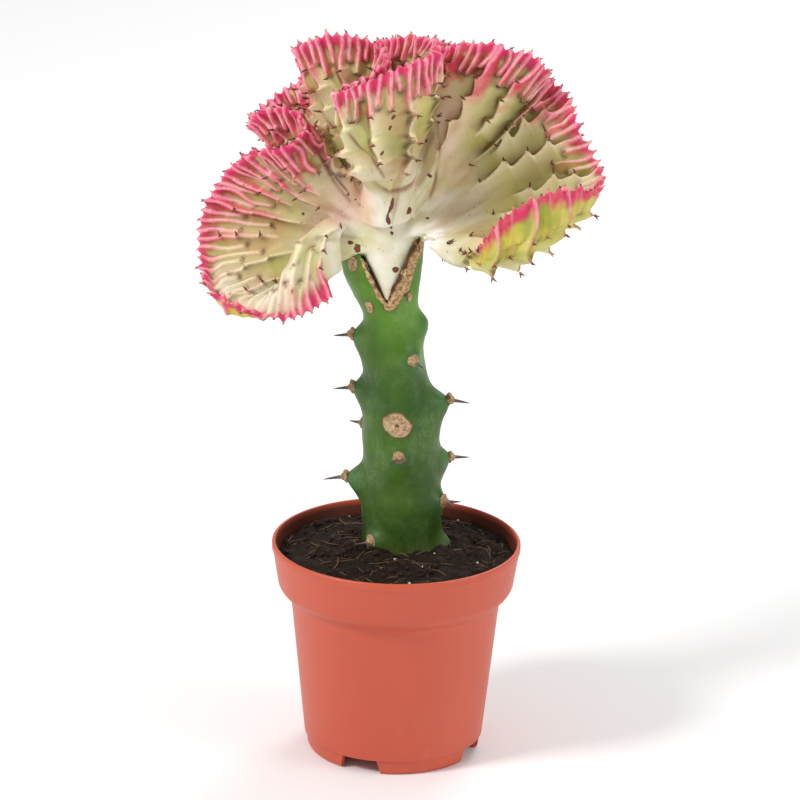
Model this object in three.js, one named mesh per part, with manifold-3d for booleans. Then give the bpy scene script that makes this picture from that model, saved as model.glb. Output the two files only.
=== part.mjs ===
// A grafted crest euphorbia in a nursery pot, in millimetres, +Z up.
// The origin is the centre of the pot's footprint, on the surface that the pot stands on.
// -Y is the side that the plant shows to its viewer.
//
// Six pieces: the pot, the potting soil, the green rootstock with its thorns, the two cords of
// corky callus along the graft cleft, and the crest, one scion whose growing edge meanders.
import * as THREE from "three";
import { mergeVertices } from "three/addons/utils/BufferGeometryUtils.js";
import Module from "manifold-3d";

const wasm = await Module();
wasm.setup();

// ---------------------------------------------------------------- driving dimensions
const GAP = 0.3; // air between touching pieces

const POT = {
  height: 105.5,
  rimRadius: 60,
  lipHeight: 3.6,
  bandBottomRadius: 56.8,
  bandHeight: 22.5,
  shoulderDrop: 5.5,
  bodyTopRadius: 50.6,
  bodyBottomRadius: 43.2,
  wall: 1.6,
  footHeight: 7.5,
  footRadius: 42.2,
  footRounding: 1.8,
  floor: 1.8,
  segments: 44,
  notches: 4,
  notchFirstDeg: -22.7, // from the front, towards +X
  notchHalfDeg: 12,
  drainHoleRadius: 4,
  drainHoleRing: 24,
};

const SOIL = { edgeHeight: 98, mound: 5, clod: 1.35, rings: 8, segments: 30 };

// The stem's axis and radii at each height: [z, x, y, half width, half depth].
const STEM = [
  [52, 3, 9, 7, 7],
  [60, 3, 9, 12, 12],
  [78, 3, 9, 15.5, 15.5],
  [97, 3, 9, 19.6, 19],
  [104, 2.7, 9, 19.3, 18.6],
  [128, 1.8, 8.6, 18.8, 18],
  [152, 1.7, 8, 18.4, 17.6],
  [168, 1.2, 7.6, 18.4, 17.4],
  [178, -0.2, 7.2, 17, 16.8],
  [188, -1.9, 6.8, 15.4, 16],
  [202, -3.8, 6.4, 14.8, 15.4],
  [218, -4.4, 5.8, 13.4, 15],
  [230, -7.3, 5.2, 16, 14.8],
  [242, -8.6, 4.8, 19, 14.8],
  [258, -9.2, 4.6, 20.6, 14.2],
];
const STEM_SIDES = 22;
const STEM_STEP = 8.2;
const STEM_TILT = 0.28; // the arm on the +X side of the cleft is the taller one

// Thorn cushions on the stem: [z, bearing in degrees from the front towards +X, bulge, spines].
const CUSHIONS = [
  [107, -42, 3.2, 2],
  [101, 88, 4.4, 0],
  [126, 66, 3.8, 2],
  [135, -88, 8, 1],
  [144, 102, 5.6, 1],
  [152, -3, 3.2, 2],
  [158, -125, 4, 1],
  [175, 90, 6.4, 1],
  [181, -88, 5, 1],
  [200, 34, 3.8, 1],
  [208, -88, 4.6, 1],
  [215, 86, 4.4, 0],
  [112, 172, 3.8, 2],
  [131, -156, 3.8, 2],
  [150, 160, 4, 2],
  [170, 148, 4, 2],
  [190, -165, 3.8, 2],
  [208, 155, 3.6, 1],
];
const CUSHION = { spread: 4.6, radius: 2.6, length: 3.2, sides: 5 };
const THORN = { radius: 1, length: 8, splayDeg: 34, sides: 3 };

// The graft: a V cleft across the stem, seen from the front as a triangle.
const CLEFT = { x: -6, bottom: 229.5, top: 263, leftX: -22.6, rightX: 7.4, half: 2.2 };
const CALLUS = { radius: 3.2, sides: 6, steps: 14, sway: 0.16 };

// The crest's growing edge, followed from its left end to its right end:
// [x, y, z, cup]. cup says how far the blade sags, in mm, before it turns up to that edge.
// A negative cup says how far it arches over the stem's left arm instead.
const MARGIN = [
  // left lobe: along its bottom, up its side, back along its top
  [-32, -20, 236, -26], [-44, -30, 230, -28], [-57, -36, 229, -20], [-70, -36, 232, 4],
  [-83, -30, 236, 18], [-92, -18, 240, 13], [-95, -6, 248, 6], [-96, 2, 259, 0],
  [-94, 6, 269, 0], [-89, 6, 279, 0], [-82, 2, 290, 0], [-74, -6, 299, 0],
  [-65, -16, 305, 2], [-55, -24, 309, 4],
  // a small cup above it, and the fold behind
  [-48, -20, 313, 0], [-46, -8, 315, 0], [-52, 4, 319, 0], [-62, 11, 318, 0],
  [-70, 19, 311, 0], [-73, 31, 303, 0], [-73, 43, 303, 0], [-67, 51, 307, 0],
  [-57, 53, 315, 0], [-48, 47, 322, 0], [-44, 35, 329, 0], [-47, 21, 338, 0],
  // top left lobe, and the wall that returns from it
  [-51, 8, 347, 0], [-46, -2, 354, 0], [-37, -6, 358, 0], [-26, -5, 358, 0],
  [-16, -3, 355, 0], [-8, -8, 350, 0], [-10, -16, 346, 4], [-18, -21, 343, 8],
  // the prow in front
  [-27, -27, 340, 12], [-31, -36, 338, 16], [-27, -45, 343, 20], [-18, -51, 349, 22],
  [-9, -53, 353, 22], [0, -51, 357, 20], [9, -45, 359, 16], [15, -35, 360, 8],
  // the fold behind it
  [17, -21, 359, 0], [12, -8, 358, 0], [5, 3, 356, 0], [-4, 11, 353, 0],
  [-11, 21, 348, 0], [-9, 33, 345, 0], [0, 40, 344, 0], [11, 39, 344, 0],
  [19, 30, 345, 0], [22, 16, 347, 0],
  // right lobe: its top, a nick, its side
  [25, 2, 352, 0], [32, -6, 356, 0], [41, -8, 356, 0], [50, -8, 353, 0],
  [59, -6, 350, 0], [66, -2, 343, 0], [68, 8, 334, 0], [73, 12, 330, 0],
  [78, 6, 326, 0], [80, -2, 320, 0], [83, -5, 313, 0], [87, -6, 306, 2],
  [91, -9, 299, 6], [94, -17, 294, 12],
  // and its lower edge, which comes forward and turns up like a bowl
  [90, -28, 292, 22], [80, -38, 295, 32], [69, -46, 296, 41], [59, -50, 293, 42],
  [50, -50, 287, 40], [42, -46, 277, 34], [38, -38, 267, 20], [35, -28, 258, 0],
];

const CREST = {
  core: [-6, 4, 258], // where the ribs meet
  coreShare: 0.16, // how much of the edge's spread the core already has
  smoothing: 26, // mm of edge over which folds even out lower down
  ribs: 94,
  rows: 6,
  firstRow: 0.28, // share of the way from core to edge where the blade leaves the core
  baseHalf: 5.2, // half thickness of the blade where it leaves the core
  edgeHalf: 1.1,
  thinnest: 0.55, // of its thickness, what a blade keeps on the inside of a tight fold
  ridge: 1.5, // height of a rib
  tubercle: 3.2, // what the tip of a tubercle adds to its rib
  toothOut: 1.6, // how far a rib stands out of the growing edge
};
const ARCH = {
  inner: new THREE.Vector3(-0.07, 0.28, 1.1),
  outer: new THREE.Vector3(-0.6, 0.25, 0.9),
};
const FAN = {
  columns: 22,
  rows: 5,
  lastRow: 0.56,
  endReach: 0.35, // share of that row which the fan still reaches at its two ends
  endSpan: [10, 110], // mm of edge over which it grows to the full reach
  baseHalf: 12,
  edgeHalf: 1,
};
const SPINE = { radius: 0.6, length: 3.4, sides: 3, sunk: 1.2, droop: 0.6 };

// ---------------------------------------------------------------- solids
function solidOf(geometry) {
  const bare = new THREE.BufferGeometry();
  const source = geometry.index ? geometry.toNonIndexed() : geometry;
  bare.setAttribute("position", source.getAttribute("position"));
  const merged = mergeVertices(bare, 1e-4);
  const mesh = new wasm.Mesh({
    numProp: 3,
    vertProperties: new Float32Array(merged.attributes.position.array),
    triVerts: new Uint32Array(merged.index.array),
  });
  return new wasm.Manifold(mesh);
}

function geometryOf(solid) {
  const mesh = solid.getMesh();
  const geometry = new THREE.BufferGeometry();
  geometry.setAttribute("position", new THREE.BufferAttribute(mesh.vertProperties, 3));
  geometry.setIndex(new THREE.BufferAttribute(mesh.triVerts, 1));
  return geometry;
}

// A closed solid through a list of rings, each a closed loop of the same even number of points.
// Each end is closed by a strip across its ring, so a ring may be long and curved.
function loft(rings) {
  const count = rings[0].length;
  const points = rings.flat();
  const index = [];
  for (let row = 0; row + 1 < rings.length; row++) {
    for (let k = 0; k < count; k++) {
      const a = row * count + k;
      const b = row * count + ((k + 1) % count);
      index.push(a, b, b + count, a, b + count, a + count);
    }
  }
  const cap = (start, flip) => {
    for (let k = 0; k + 1 < count / 2; k++) {
      const [a, b] = [start + k, start + k + 1];
      const [c, d] = [start + count - 1 - k, start + count - 2 - k];
      index.push(...(flip ? [a, b, d, a, d, c] : [a, d, b, a, c, d]));
    }
  };
  cap(0, false);
  cap((rings.length - 1) * count, true);
  const geometry = new THREE.BufferGeometry();
  const flat = new Float32Array(points.flatMap((p) => [p.x, p.y, p.z]));
  geometry.setAttribute("position", new THREE.BufferAttribute(flat, 3));
  geometry.setIndex(index);
  return upright(geometry);
}

// The solid of a geometry, turned inside out where its faces point inwards.
function upright(geometry) {
  const solid = solidOf(geometry);
  if (solid.volume() > 0) return solid;
  const index = Array.from(geometry.index.array);
  for (let i = 0; i < index.length; i += 3) [index[i + 1], index[i + 2]] = [index[i + 2], index[i + 1]];
  geometry.setIndex(index);
  return solidOf(geometry);
}

// The outer skin of the largest body, with sealed hollows filled and loose scraps dropped.
function wholeBody(solid) {
  const bodies = solid.decompose().filter((body) => body.volume() > 0);
  return bodies.reduce((best, body) => (body.volume() > best.volume() ? body : best));
}

function join(solids) {
  return wasm.Manifold.union(solids);
}

// A cone from a point along a direction, with its root sunk below that point.
function spike(root, direction, radius, length, sides, sunk, tipRadius = 0) {
  const cone = new THREE.CylinderGeometry(tipRadius, radius, length + sunk, sides, 1);
  cone.translate(0, (length + sunk) / 2 - sunk, 0);
  const turn = new THREE.Quaternion().setFromUnitVectors(new THREE.Vector3(0, 1, 0), direction);
  cone.applyQuaternion(turn);
  cone.translate(root.x, root.y, root.z);
  cone.deleteAttribute("normal");
  cone.deleteAttribute("uv");
  return solidOf(cone);
}

const lerp = THREE.MathUtils.lerp;
const smoothstep = THREE.MathUtils.smoothstep;
const degToRad = THREE.MathUtils.degToRad;

// Repeatable noise from -1 to 1 for a whole number.
function hash(n) {
  const s = Math.sin(n * 127.1 + 311.7) * 43758.5453;
  return 2 * (s - Math.floor(s)) - 1;
}

// ---------------------------------------------------------------- pot
function potProfile() {
  const bandBottom = POT.height - POT.bandHeight;
  const shoulder = bandBottom - POT.shoulderDrop;
  const w = POT.wall;
  const outer = [
    [POT.footRadius - POT.footRounding - 1.5, 0],
    [POT.footRadius - POT.footRounding, 0],
    [POT.footRadius - 0.5, POT.footRounding],
    [POT.footRadius, POT.footHeight - 0.6],
    [POT.bodyBottomRadius, POT.footHeight],
    [POT.bodyTopRadius, shoulder],
    [POT.bandBottomRadius - 1.4, bandBottom - 1],
    [POT.bandBottomRadius, bandBottom + 1.4],
    [POT.rimRadius - 0.6, POT.height - POT.lipHeight - 1],
    [POT.rimRadius, POT.height - POT.lipHeight],
    [POT.rimRadius, POT.height - 0.7],
    [POT.rimRadius - 0.6, POT.height],
  ];
  const inner = [
    [POT.rimRadius - w, POT.height],
    [POT.rimRadius - w - 0.5, POT.height - POT.lipHeight],
    [POT.bandBottomRadius - w, bandBottom],
    [POT.bodyTopRadius - w, shoulder - 1],
    [POT.bodyBottomRadius - w, POT.footHeight + POT.floor],
    [0, POT.footHeight + POT.floor],
    [0, POT.footHeight],
    [POT.footRadius - w - 0.6, POT.footHeight],
    [POT.footRadius - POT.footRounding - 1.5, 0],
  ];
  return [...outer, ...inner].map(([r, z]) => new THREE.Vector2(r, z));
}

function lathe(profile, segments) {
  const geometry = new THREE.LatheGeometry(profile, segments);
  geometry.rotateX(Math.PI / 2); // the lathe turns about Y
  geometry.deleteAttribute("normal");
  geometry.deleteAttribute("uv");
  return upright(mergeVertices(geometry, 1e-4));
}

// A bearing is measured from the front (-Y) towards +X.
function bearing(degrees, radius, z = 0) {
  const a = degToRad(degrees);
  return new THREE.Vector3(Math.sin(a) * radius, -Math.cos(a) * radius, z);
}

function footNotch(degrees) {
  const inside = POT.bodyBottomRadius - 8;
  const outside = POT.bodyBottomRadius + 6;
  const lean = 3; // the notch is a little wider at the floor
  const ring = (z, half) => [
    bearing(degrees - half, inside, z),
    bearing(degrees - half, outside, z),
    bearing(degrees + half, outside, z),
    bearing(degrees + half, inside, z),
  ];
  return loft([ring(-1, POT.notchHalfDeg + lean), ring(POT.footHeight, POT.notchHalfDeg)]);
}

function makePot() {
  let pot = lathe(potProfile(), POT.segments);
  for (let k = 0; k < POT.notches; k++) {
    const degrees = POT.notchFirstDeg + (k * 360) / POT.notches;
    const hole = new THREE.CylinderGeometry(POT.drainHoleRadius, POT.drainHoleRadius, 20, 12);
    hole.rotateX(Math.PI / 2);
    const at = bearing(degrees, POT.drainHoleRing, POT.footHeight);
    hole.translate(at.x, at.y, at.z);
    hole.deleteAttribute("normal");
    hole.deleteAttribute("uv");
    pot = pot.subtract(footNotch(degrees)).subtract(solidOf(hole));
  }
  return pot;
}

// ---------------------------------------------------------------- stem
// The stem's row at a height, eased between the rows of the table.
function stemAt(z) {
  let k = 0;
  while (k + 2 < STEM.length && STEM[k + 1][0] < z) k++;
  const [a, b] = [STEM[k], STEM[k + 1]];
  const before = STEM[Math.max(0, k - 1)];
  const after = STEM[Math.min(STEM.length - 1, k + 2)];
  const t = THREE.MathUtils.clamp((z - a[0]) / (b[0] - a[0]), 0, 1);
  const at = (c) => {
    const span = b[0] - a[0];
    const ma = ((b[c] - before[c]) / Math.max(b[0] - before[0], 1)) * span;
    const mb = ((after[c] - a[c]) / Math.max(after[0] - a[0], 1)) * span;
    const t2 = t * t;
    const t3 = t2 * t;
    return (2 * t3 - 3 * t2 + 1) * a[c] + (t3 - 2 * t2 + t) * ma
      + (-2 * t3 + 3 * t2) * b[c] + (t3 - t2) * mb;
  };
  return { x: at(1), y: at(2), width: at(3), depth: at(4) };
}

// A point of the stem's skin; grow moves it outwards.
function stemPoint(z, degrees, grow = 0) {
  const row = stemAt(z);
  let bulge = 0;
  for (const [cz, cDeg, height] of CUSHIONS) {
    let apart = Math.abs(degrees - cDeg) % 360;
    if (apart > 180) apart = 360 - apart;
    const across = degToRad(apart) * row.width;
    const up = z - cz;
    const tall = up > 0 ? 0.75 : 1.35; // a cushion runs down the stem below itself
    bulge += height * Math.exp(-(across ** 2 + (up / tall) ** 2) / (2 * CUSHION.spread ** 2));
  }
  const a = degToRad(degrees);
  const x = row.x + Math.sin(a) * (row.width + bulge + grow);
  const y = row.y - Math.cos(a) * (row.depth + bulge + grow);
  const tilt = STEM_TILT * smoothstep(z, CLEFT.bottom - 6, CLEFT.top - 8);
  return new THREE.Vector3(x, y, z + tilt * (x - row.x));
}

function stemBody(grow = 0) {
  const low = STEM[0][0] - grow;
  const high = STEM[STEM.length - 1][0];
  const count = Math.round((high - low) / STEM_STEP);
  const rings = [];
  for (let k = 0; k <= count; k++) {
    const z = lerp(low, high, k / count);
    const ring = [];
    for (let s = 0; s < STEM_SIDES; s++) ring.push(stemPoint(z, (s * 360) / STEM_SIDES, grow));
    rings.push(ring);
  }
  return loft(rings);
}

// The triangular prism of the cleft, grown by a margin.
function cleftPrism(grow = 0) {
  const deep = 40;
  const rise = 20; // the prism runs on above the stem
  const leftSlope = (CLEFT.leftX - CLEFT.x) / (CLEFT.top - CLEFT.bottom);
  const rightSlope = (CLEFT.rightX - CLEFT.x) / (CLEFT.top - CLEFT.bottom);
  const top = CLEFT.top + rise;
  const bottom = CLEFT.bottom - grow;
  const half = CLEFT.half + grow;
  const ring = (y) => [
    new THREE.Vector3(CLEFT.x - half, y, bottom),
    new THREE.Vector3(CLEFT.x + half, y, bottom),
    new THREE.Vector3(CLEFT.x + rightSlope * (top - CLEFT.bottom) + half, y, top),
    new THREE.Vector3(CLEFT.x + leftSlope * (top - CLEFT.bottom) - half, y, top),
  ];
  return loft([ring(-deep), ring(deep)]);
}

// What the other pieces leave free for the rootstock.
function grownStem() {
  return stemBody(GAP).subtract(cleftPrism());
}

function cushionSpikes([z, degrees, height, spines]) {
  const skin = stemPoint(z, degrees);
  const out = bearing(degrees, 1);
  out.z = -0.12;
  out.normalize();
  const wood = spike(skin, out, CUSHION.radius, CUSHION.length * 0.5, CUSHION.sides, 3, 1.5);
  const made = [wood];
  const side = new THREE.Vector3(0, 0, 1).cross(out).normalize();
  for (let k = 0; k < spines; k++) {
    const turn = spines === 1 ? 0 : degToRad(THORN.splayDeg) * (k ? 1 : -1);
    const aim = out.clone().multiplyScalar(Math.cos(turn)).addScaledVector(side, Math.sin(turn)).normalize();
    const root = skin.clone().addScaledVector(out, CUSHION.length * 0.3);
    made.push(spike(root, aim, THORN.radius, THORN.length * (0.75 + height / 14), THORN.sides, 2));
  }
  return made;
}

function makeRootstock() {
  const body = stemBody().subtract(cleftPrism(GAP));
  const spikes = CUSHIONS.filter((c) => c[2] && !(c[3] === 0)).flatMap(cushionSpikes);
  return wholeBody(join([body, ...spikes]));
}

// ---------------------------------------------------------------- soil
function soilHeight(x, y) {
  const r = Math.hypot(x, y);
  const stem = stemAt(SOIL.edgeHeight + SOIL.mound);
  const near = Math.hypot(x - stem.x, y - stem.y);
  const mound = SOIL.mound * Math.exp(-((Math.max(0, near - stem.width) / 24) ** 2));
  // clods about 19 mm apart, lower along the pot's wall
  const clods = Math.sin(x * 0.33 + 1.3) * Math.cos(y * 0.31) + 0.5 * Math.sin(x * 0.21 - y * 0.27);
  return SOIL.edgeHeight + mound + SOIL.clod * clods * (r < 54 ? 1 : 0.4);
}

function makeSoil() {
  const bandBottom = POT.height - POT.bandHeight;
  const shoulder = bandBottom - POT.shoulderDrop;
  const in_ = POT.wall + GAP;
  const low = POT.footHeight + POT.floor + GAP;
  const upBand = (SOIL.edgeHeight - bandBottom) / POT.bandHeight;
  const topRadius = lerp(POT.bandBottomRadius, POT.rimRadius, upBand) - in_ - 0.3;
  // each ring: [radius, height or null where the surface's own height is used]
  const rings = [
    [6, low],
    [POT.bodyBottomRadius - in_ - 0.2, low],
    [POT.bodyTopRadius - in_ - 0.2, shoulder - 1.4],
    [POT.bandBottomRadius - in_ - 0.2, bandBottom + 0.3],
  ];
  for (let k = 0; k < SOIL.rings; k++) rings.push([lerp(topRadius, 6, k / (SOIL.rings - 1)), null]);
  const made = rings.map(([r, z], row) => {
    const ring = [];
    for (let s = 0; s < SOIL.segments; s++) {
      const p = bearing(((s + (row % 2) / 2) * 360) / SOIL.segments, r, z ?? 0);
      if (z === null) p.z = soilHeight(p.x, p.y);
      ring.push(p);
    }
    return ring;
  });
  return wholeBody(loft(made).subtract(stemBody(GAP)));
}

// ---------------------------------------------------------------- crest
const edgeCurve = new THREE.CatmullRomCurve3(
  MARGIN.map(([x, y, z]) => new THREE.Vector3(x, y, z)), false, "catmullrom", 0.5);
edgeCurve.arcLengthDivisions = 1500;
const cupCurve = new THREE.CatmullRomCurve3(
  MARGIN.map((row) => new THREE.Vector3(row[3], 0, 0)), false, "catmullrom", 0.5);
const EDGE_LENGTH = edgeCurve.getLength();
const CORE = new THREE.Vector3(...CREST.core);

// The edge, evened out over the smoothing length, sampled along its own length.
const SAMPLES = 300;
const edgeSamples = Array.from({ length: SAMPLES + 1 }, (_, k) => edgeCurve.getPointAt(k / SAMPLES));
const smoothSamples = edgeSamples.map((_, k) => {
  const sum = new THREE.Vector3();
  let weight = 0;
  edgeSamples.forEach((p, j) => {
    const w = Math.exp(-0.5 * (((j - k) * EDGE_LENGTH) / SAMPLES / CREST.smoothing) ** 2);
    sum.addScaledVector(p, w);
    weight += w;
  });
  return sum.divideScalar(weight);
});

function smoothEdge(u) {
  const f = THREE.MathUtils.clamp(u, 0, 1) * SAMPLES;
  const k = Math.min(SAMPLES - 1, Math.floor(f));
  return smoothSamples[k].clone().lerp(smoothSamples[k + 1], f - k);
}

// The blade's middle surface: u runs along the edge, t from the core (0) to the edge (1).
// The even surface is the same without its folds.
function bladePoint(u, t, even = false) {
  const at = THREE.MathUtils.clamp(u, 0, 1);
  const soft = smoothEdge(at);
  const edge = even ? soft : edgeCurve.getPointAt(at);
  const cup = cupCurve.getPoint(edgeCurve.getUtoTmapping(at)).x * (even ? 0.6 : 1);
  const root = CORE.clone().lerp(soft, CREST.coreShare);
  const half = root.clone().lerp(soft, 0.5);
  const inner = root.clone().lerp(half, 2 / 3);
  const outer = edge.clone().lerp(half, 2 / 3);
  if (cup > 0) {
    inner.z += 0.1 * cup;
    outer.x += (cup / 100) * (edge.x - root.x);
    outer.y += (cup / 100) * (edge.y - root.y);
    outer.z -= cup;
  } else {
    inner.addScaledVector(ARCH.inner, -cup);
    outer.addScaledVector(ARCH.outer, -cup);
  }
  const s = 1 - t;
  return root.multiplyScalar(s ** 3)
    .addScaledVector(inner, 3 * s * s * t)
    .addScaledVector(outer, 3 * s * t * t)
    .addScaledVector(edge, t ** 3);
}

function bladeFrame(u, t, even = false) {
  const du = 0.5 / SAMPLES;
  const along = bladePoint(u + du, t, even).sub(bladePoint(u - du, t, even));
  const out = bladePoint(u, t + 0.01, even).sub(bladePoint(u, t - 0.01, even)).normalize();
  const normal = along.cross(out).normalize();
  return { out, normal };
}

// A rib's rank: every fourth starts near the core, every second further out, the rest near the edge.
function ribRank(rib) {
  return rib % 4 === 0 ? 0 : rib % 2 === 0 ? 1 : 2;
}
const RANK_START = [0.3, 0.5, 0.68];

// Every second row of a longer rib is the tip of a tubercle; neighbouring ribs alternate.
function isTip(rib, side, row) {
  const rank = ribRank(rib);
  if (rank > 1 || row < 1 + rank || row >= CREST.rows) return false;
  return (row + Math.floor(rib / 4) + rank + side) % 2 === 0;
}

// Height of a rib above the blade at a row.
function ribHeight(rib, side, row, t) {
  const start = RANK_START[ribRank(rib)];
  const ridge = CREST.ridge * smoothstep(t, start, start + 0.12);
  const sway = 1 + 0.25 * hash(rib * 16 + row * 2 + side);
  const tip = isTip(rib, side, row) ? CREST.tubercle * sway * (ribRank(rib) ? 0.65 : 1) : 0;
  return (ridge + tip) * (1 - 0.45 * smoothstep(t, 0.8, 1));
}

function halfThickness(u, t) {
  const fromEnd = Math.min(u, 1 - u) * EDGE_LENGTH;
  const full = lerp(CREST.baseHalf, CREST.edgeHalf, smoothstep(t, CREST.firstRow, 1) ** 1.2);
  return lerp(CREST.edgeHalf, full, lerp(0.45, 1, smoothstep(fromEnd, 0, 30)));
}

// The blade's middle points, and normals that keep to one side of it from edge to core.
function bladeGrid() {
  const columns = 2 * CREST.ribs;
  const ts = Array.from({ length: CREST.rows + 1 }, (_, j) =>
    lerp(CREST.firstRow, 1, 1 - (1 - j / CREST.rows) ** 1.35));
  const grid = Array.from({ length: columns + 1 }, (_, k) => ts.map((t) => {
    const u = k / columns;
    return { u, t, middle: bladePoint(u, t), ...bladeFrame(u, Math.min(t, 0.985)) };
  }));
  for (const column of grid) {
    for (let j = CREST.rows - 1; j >= 0; j--) {
      if (column[j].normal.dot(column[j + 1].normal) < 0) column[j].normal.negate();
    }
  }
  const evened = grid.map((column, k) => column.map((cell, j) => {
    const sum = new THREE.Vector3();
    for (let dk = -2; dk <= 2; dk++) {
      for (let dj = -1; dj <= 1; dj++) {
        const other = grid[k + dk]?.[j + dj];
        if (other) sum.addScaledVector(other.normal, 1 / (1 + Math.abs(dk) + Math.abs(dj)));
      }
    }
    return sum.normalize();
  }));
  grid.forEach((column, k) => column.forEach((cell, j) => { cell.normal = evened[k][j]; }));
  return grid;
}

// The two skins of the blade: for each column and row, the point on either side.
function bladeSkins(grid, grow = 0) {
  const columns = grid.length - 1;
  const skins = grid.map((column, k) => column.map((cell, j) => {
    const isRidge = k % 2 === 1;
    const rim = j === CREST.rows;
    const middle = cell.middle.clone();
    if (isRidge && rim) middle.addScaledVector(cell.out, CREST.toothOut);
    return [0, 1].map((side) => {
      const rib = isRidge ? ribHeight((k - 1) / 2, side, j, cell.t) * (rim ? 0.2 : 1) : 0;
      const full = halfThickness(cell.u, cell.t) + rib;
      return { middle, normal: cell.normal, sign: side ? -1 : 1, reach: full, full };
    });
  }));
  const at = (p) => p.middle.clone().addScaledVector(p.normal, p.sign * (p.reach + grow));
  // on the inside of a tight fold the skin is drawn in, so that neighbours don't cross
  for (let pass = 0; pass < 8; pass++) {
    for (let k = 0; k < columns; k++) {
      for (let j = 0; j <= CREST.rows; j++) {
        for (const side of [0, 1]) {
          const [a, b] = [skins[k][j][side], skins[k + 1][j][side]];
          const step = b.middle.clone().sub(a.middle);
          if (at(b).sub(at(a)).dot(step) < 0.15 * step.lengthSq()) {
            a.reach = Math.max(a.reach * 0.85, a.full * CREST.thinnest);
            b.reach = Math.max(b.reach * 0.85, b.full * CREST.thinnest);
          }
        }
      }
    }
  }
  return skins.map((column) => column.map((pair) => pair.map(at)));
}

// One closed block between two columns and two rows. Neighbours share a wall exactly, and so
// the blocks join into one blade, also where the blade crosses itself near the core. A block
// that is twisted is made of six wedges instead, which share the same walls.
const BLOCK_SIDES = [
  [0, 1, 2, 3], [4, 7, 6, 5], [0, 4, 5, 1], [3, 2, 6, 7], [0, 3, 7, 4], [1, 5, 6, 2],
];
const BLOCK_WEDGES = [
  [0, 1, 2, 6], [0, 2, 3, 6], [0, 3, 7, 6], [0, 7, 4, 6], [0, 4, 5, 6], [0, 5, 1, 6],
];

function wedgeVolume(p, [a, b, c, d]) {
  const [ab, ac, ad] = [b, c, d].map((k) => p[k].clone().sub(p[a]));
  return ab.cross(ac).dot(ad) / 6;
}

function polyhedron(points, faces) {
  const geometry = new THREE.BufferGeometry();
  const flat = new Float32Array(points.flatMap((v) => [v.x, v.y, v.z]));
  geometry.setAttribute("position", new THREE.BufferAttribute(flat, 3));
  geometry.setIndex(faces.flat());
  return upright(geometry);
}

function blocksOf(skins) {
  const made = [];
  for (let k = 0; k + 1 < skins.length; k++) {
    for (let j = 0; j + 1 < skins[k].length; j++) {
      const [a, b, c, d] = [skins[k][j], skins[k + 1][j], skins[k + 1][j + 1], skins[k][j + 1]];
      const p = [a[0], b[0], c[0], d[0], a[1], b[1], c[1], d[1]];
      const volumes = BLOCK_WEDGES.map((wedge) => wedgeVolume(p, wedge));
      if (volumes.every((v) => v > 0) || volumes.every((v) => v < 0)) {
        made.push(polyhedron(p, BLOCK_SIDES.flatMap(([q, r, s, t]) => [[q, r, s], [q, s, t]])));
        continue;
      }
      BLOCK_WEDGES.forEach((wedge, n) => {
        if (Math.abs(volumes[n]) < 1e-3) return;
        const [q, r, s, t] = wedge;
        made.push(polyhedron(p, [[q, r, s], [q, t, r], [r, t, s], [s, t, q]]));
      });
    }
  }
  return made;
}

// The thick, even fan that the folds grow out of, thinning towards its own edge.
function makeFan(grow = 0) {
  const skins = [];
  for (let k = 0; k <= FAN.columns; k++) {
    const u = k / FAN.columns;
    const round = Math.sqrt(Math.max(0.2, Math.sin(Math.PI * (0.06 + 0.88 * u))));
    const fromEnd = Math.min(u, 1 - u) * EDGE_LENGTH;
    const reach = FAN.lastRow * lerp(FAN.endReach, 1, smoothstep(fromEnd, ...FAN.endSpan));
    const column = [];
    for (let j = 0; j <= FAN.rows; j++) {
      const f = j / FAN.rows;
      const half = lerp(FAN.baseHalf, FAN.edgeHalf, f) * round + grow;
      const { normal } = bladeFrame(u, Math.max(f * reach, 0.05), true);
      const middle = bladePoint(u, f * reach, true);
      column.push([half, -half].map((reach) => middle.clone().addScaledVector(normal, reach)));
    }
    skins.push(column);
  }
  return blocksOf(skins);
}

// The wedge cut on the scion, which fills the cleft, and the neck above it.
function makeWedge(grow = 0) {
  const rows = 8;
  const sides = 18;
  const neck = 14;
  const rings = [];
  for (let k = 0; k <= rows; k++) {
    const z = lerp(CLEFT.bottom, CLEFT.top + neck, k / rows);
    const f = (z - CLEFT.bottom) / (CLEFT.top - CLEFT.bottom);
    const left = lerp(CLEFT.x, CLEFT.leftX, Math.min(f, 1)) - CLEFT.half;
    const right = lerp(CLEFT.x, CLEFT.rightX, Math.min(f, 1)) + CLEFT.half;
    const over = Math.max(0, z - CLEFT.top) / neck;
    const round = Math.sqrt(1 - 0.75 * over ** 2);
    const stem = stemAt(Math.min(z, STEM[STEM.length - 1][0]));
    const depth = (stem.depth + lerp(0.4, -1.5, Math.min(f, 1))) * round;
    const half = ((right - left) / 2) * round;
    const ring = [];
    for (let s = 0; s < sides; s++) {
      const a = ((s + 0.5) / sides) * 2 * Math.PI;
      const square = (v) => Math.sign(v) * Math.abs(v) ** 0.7;
      ring.push(new THREE.Vector3(
        lerp(left, right, 0.5) + square(Math.sin(a)) * (half + grow),
        stem.y - square(Math.cos(a)) * (depth + grow),
        z - (k === 0 ? grow : 0),
      ));
    }
    rings.push(ring);
  }
  return loft(rings);
}

// Spines stand on the tubercles of the longest ribs, and lean back towards the core.
function makeSpines(grid, skins) {
  const spines = [];
  for (let rib = 0; rib < CREST.ribs; rib += 4) {
    const k = 2 * rib + 1;
    for (const side of [0, 1]) {
      for (let row = 1; row < CREST.rows; row++) {
        if (!isTip(rib, side, row)) continue;
        const { normal, out } = grid[k][row];
        const aim = normal.clone().multiplyScalar(side ? -1 : 1).addScaledVector(out, -SPINE.droop);
        spines.push(spike(skins[k][row][side], aim.normalize(), SPINE.radius, SPINE.length,
          SPINE.sides, SPINE.sunk));
      }
    }
  }
  return spines;
}

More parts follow.
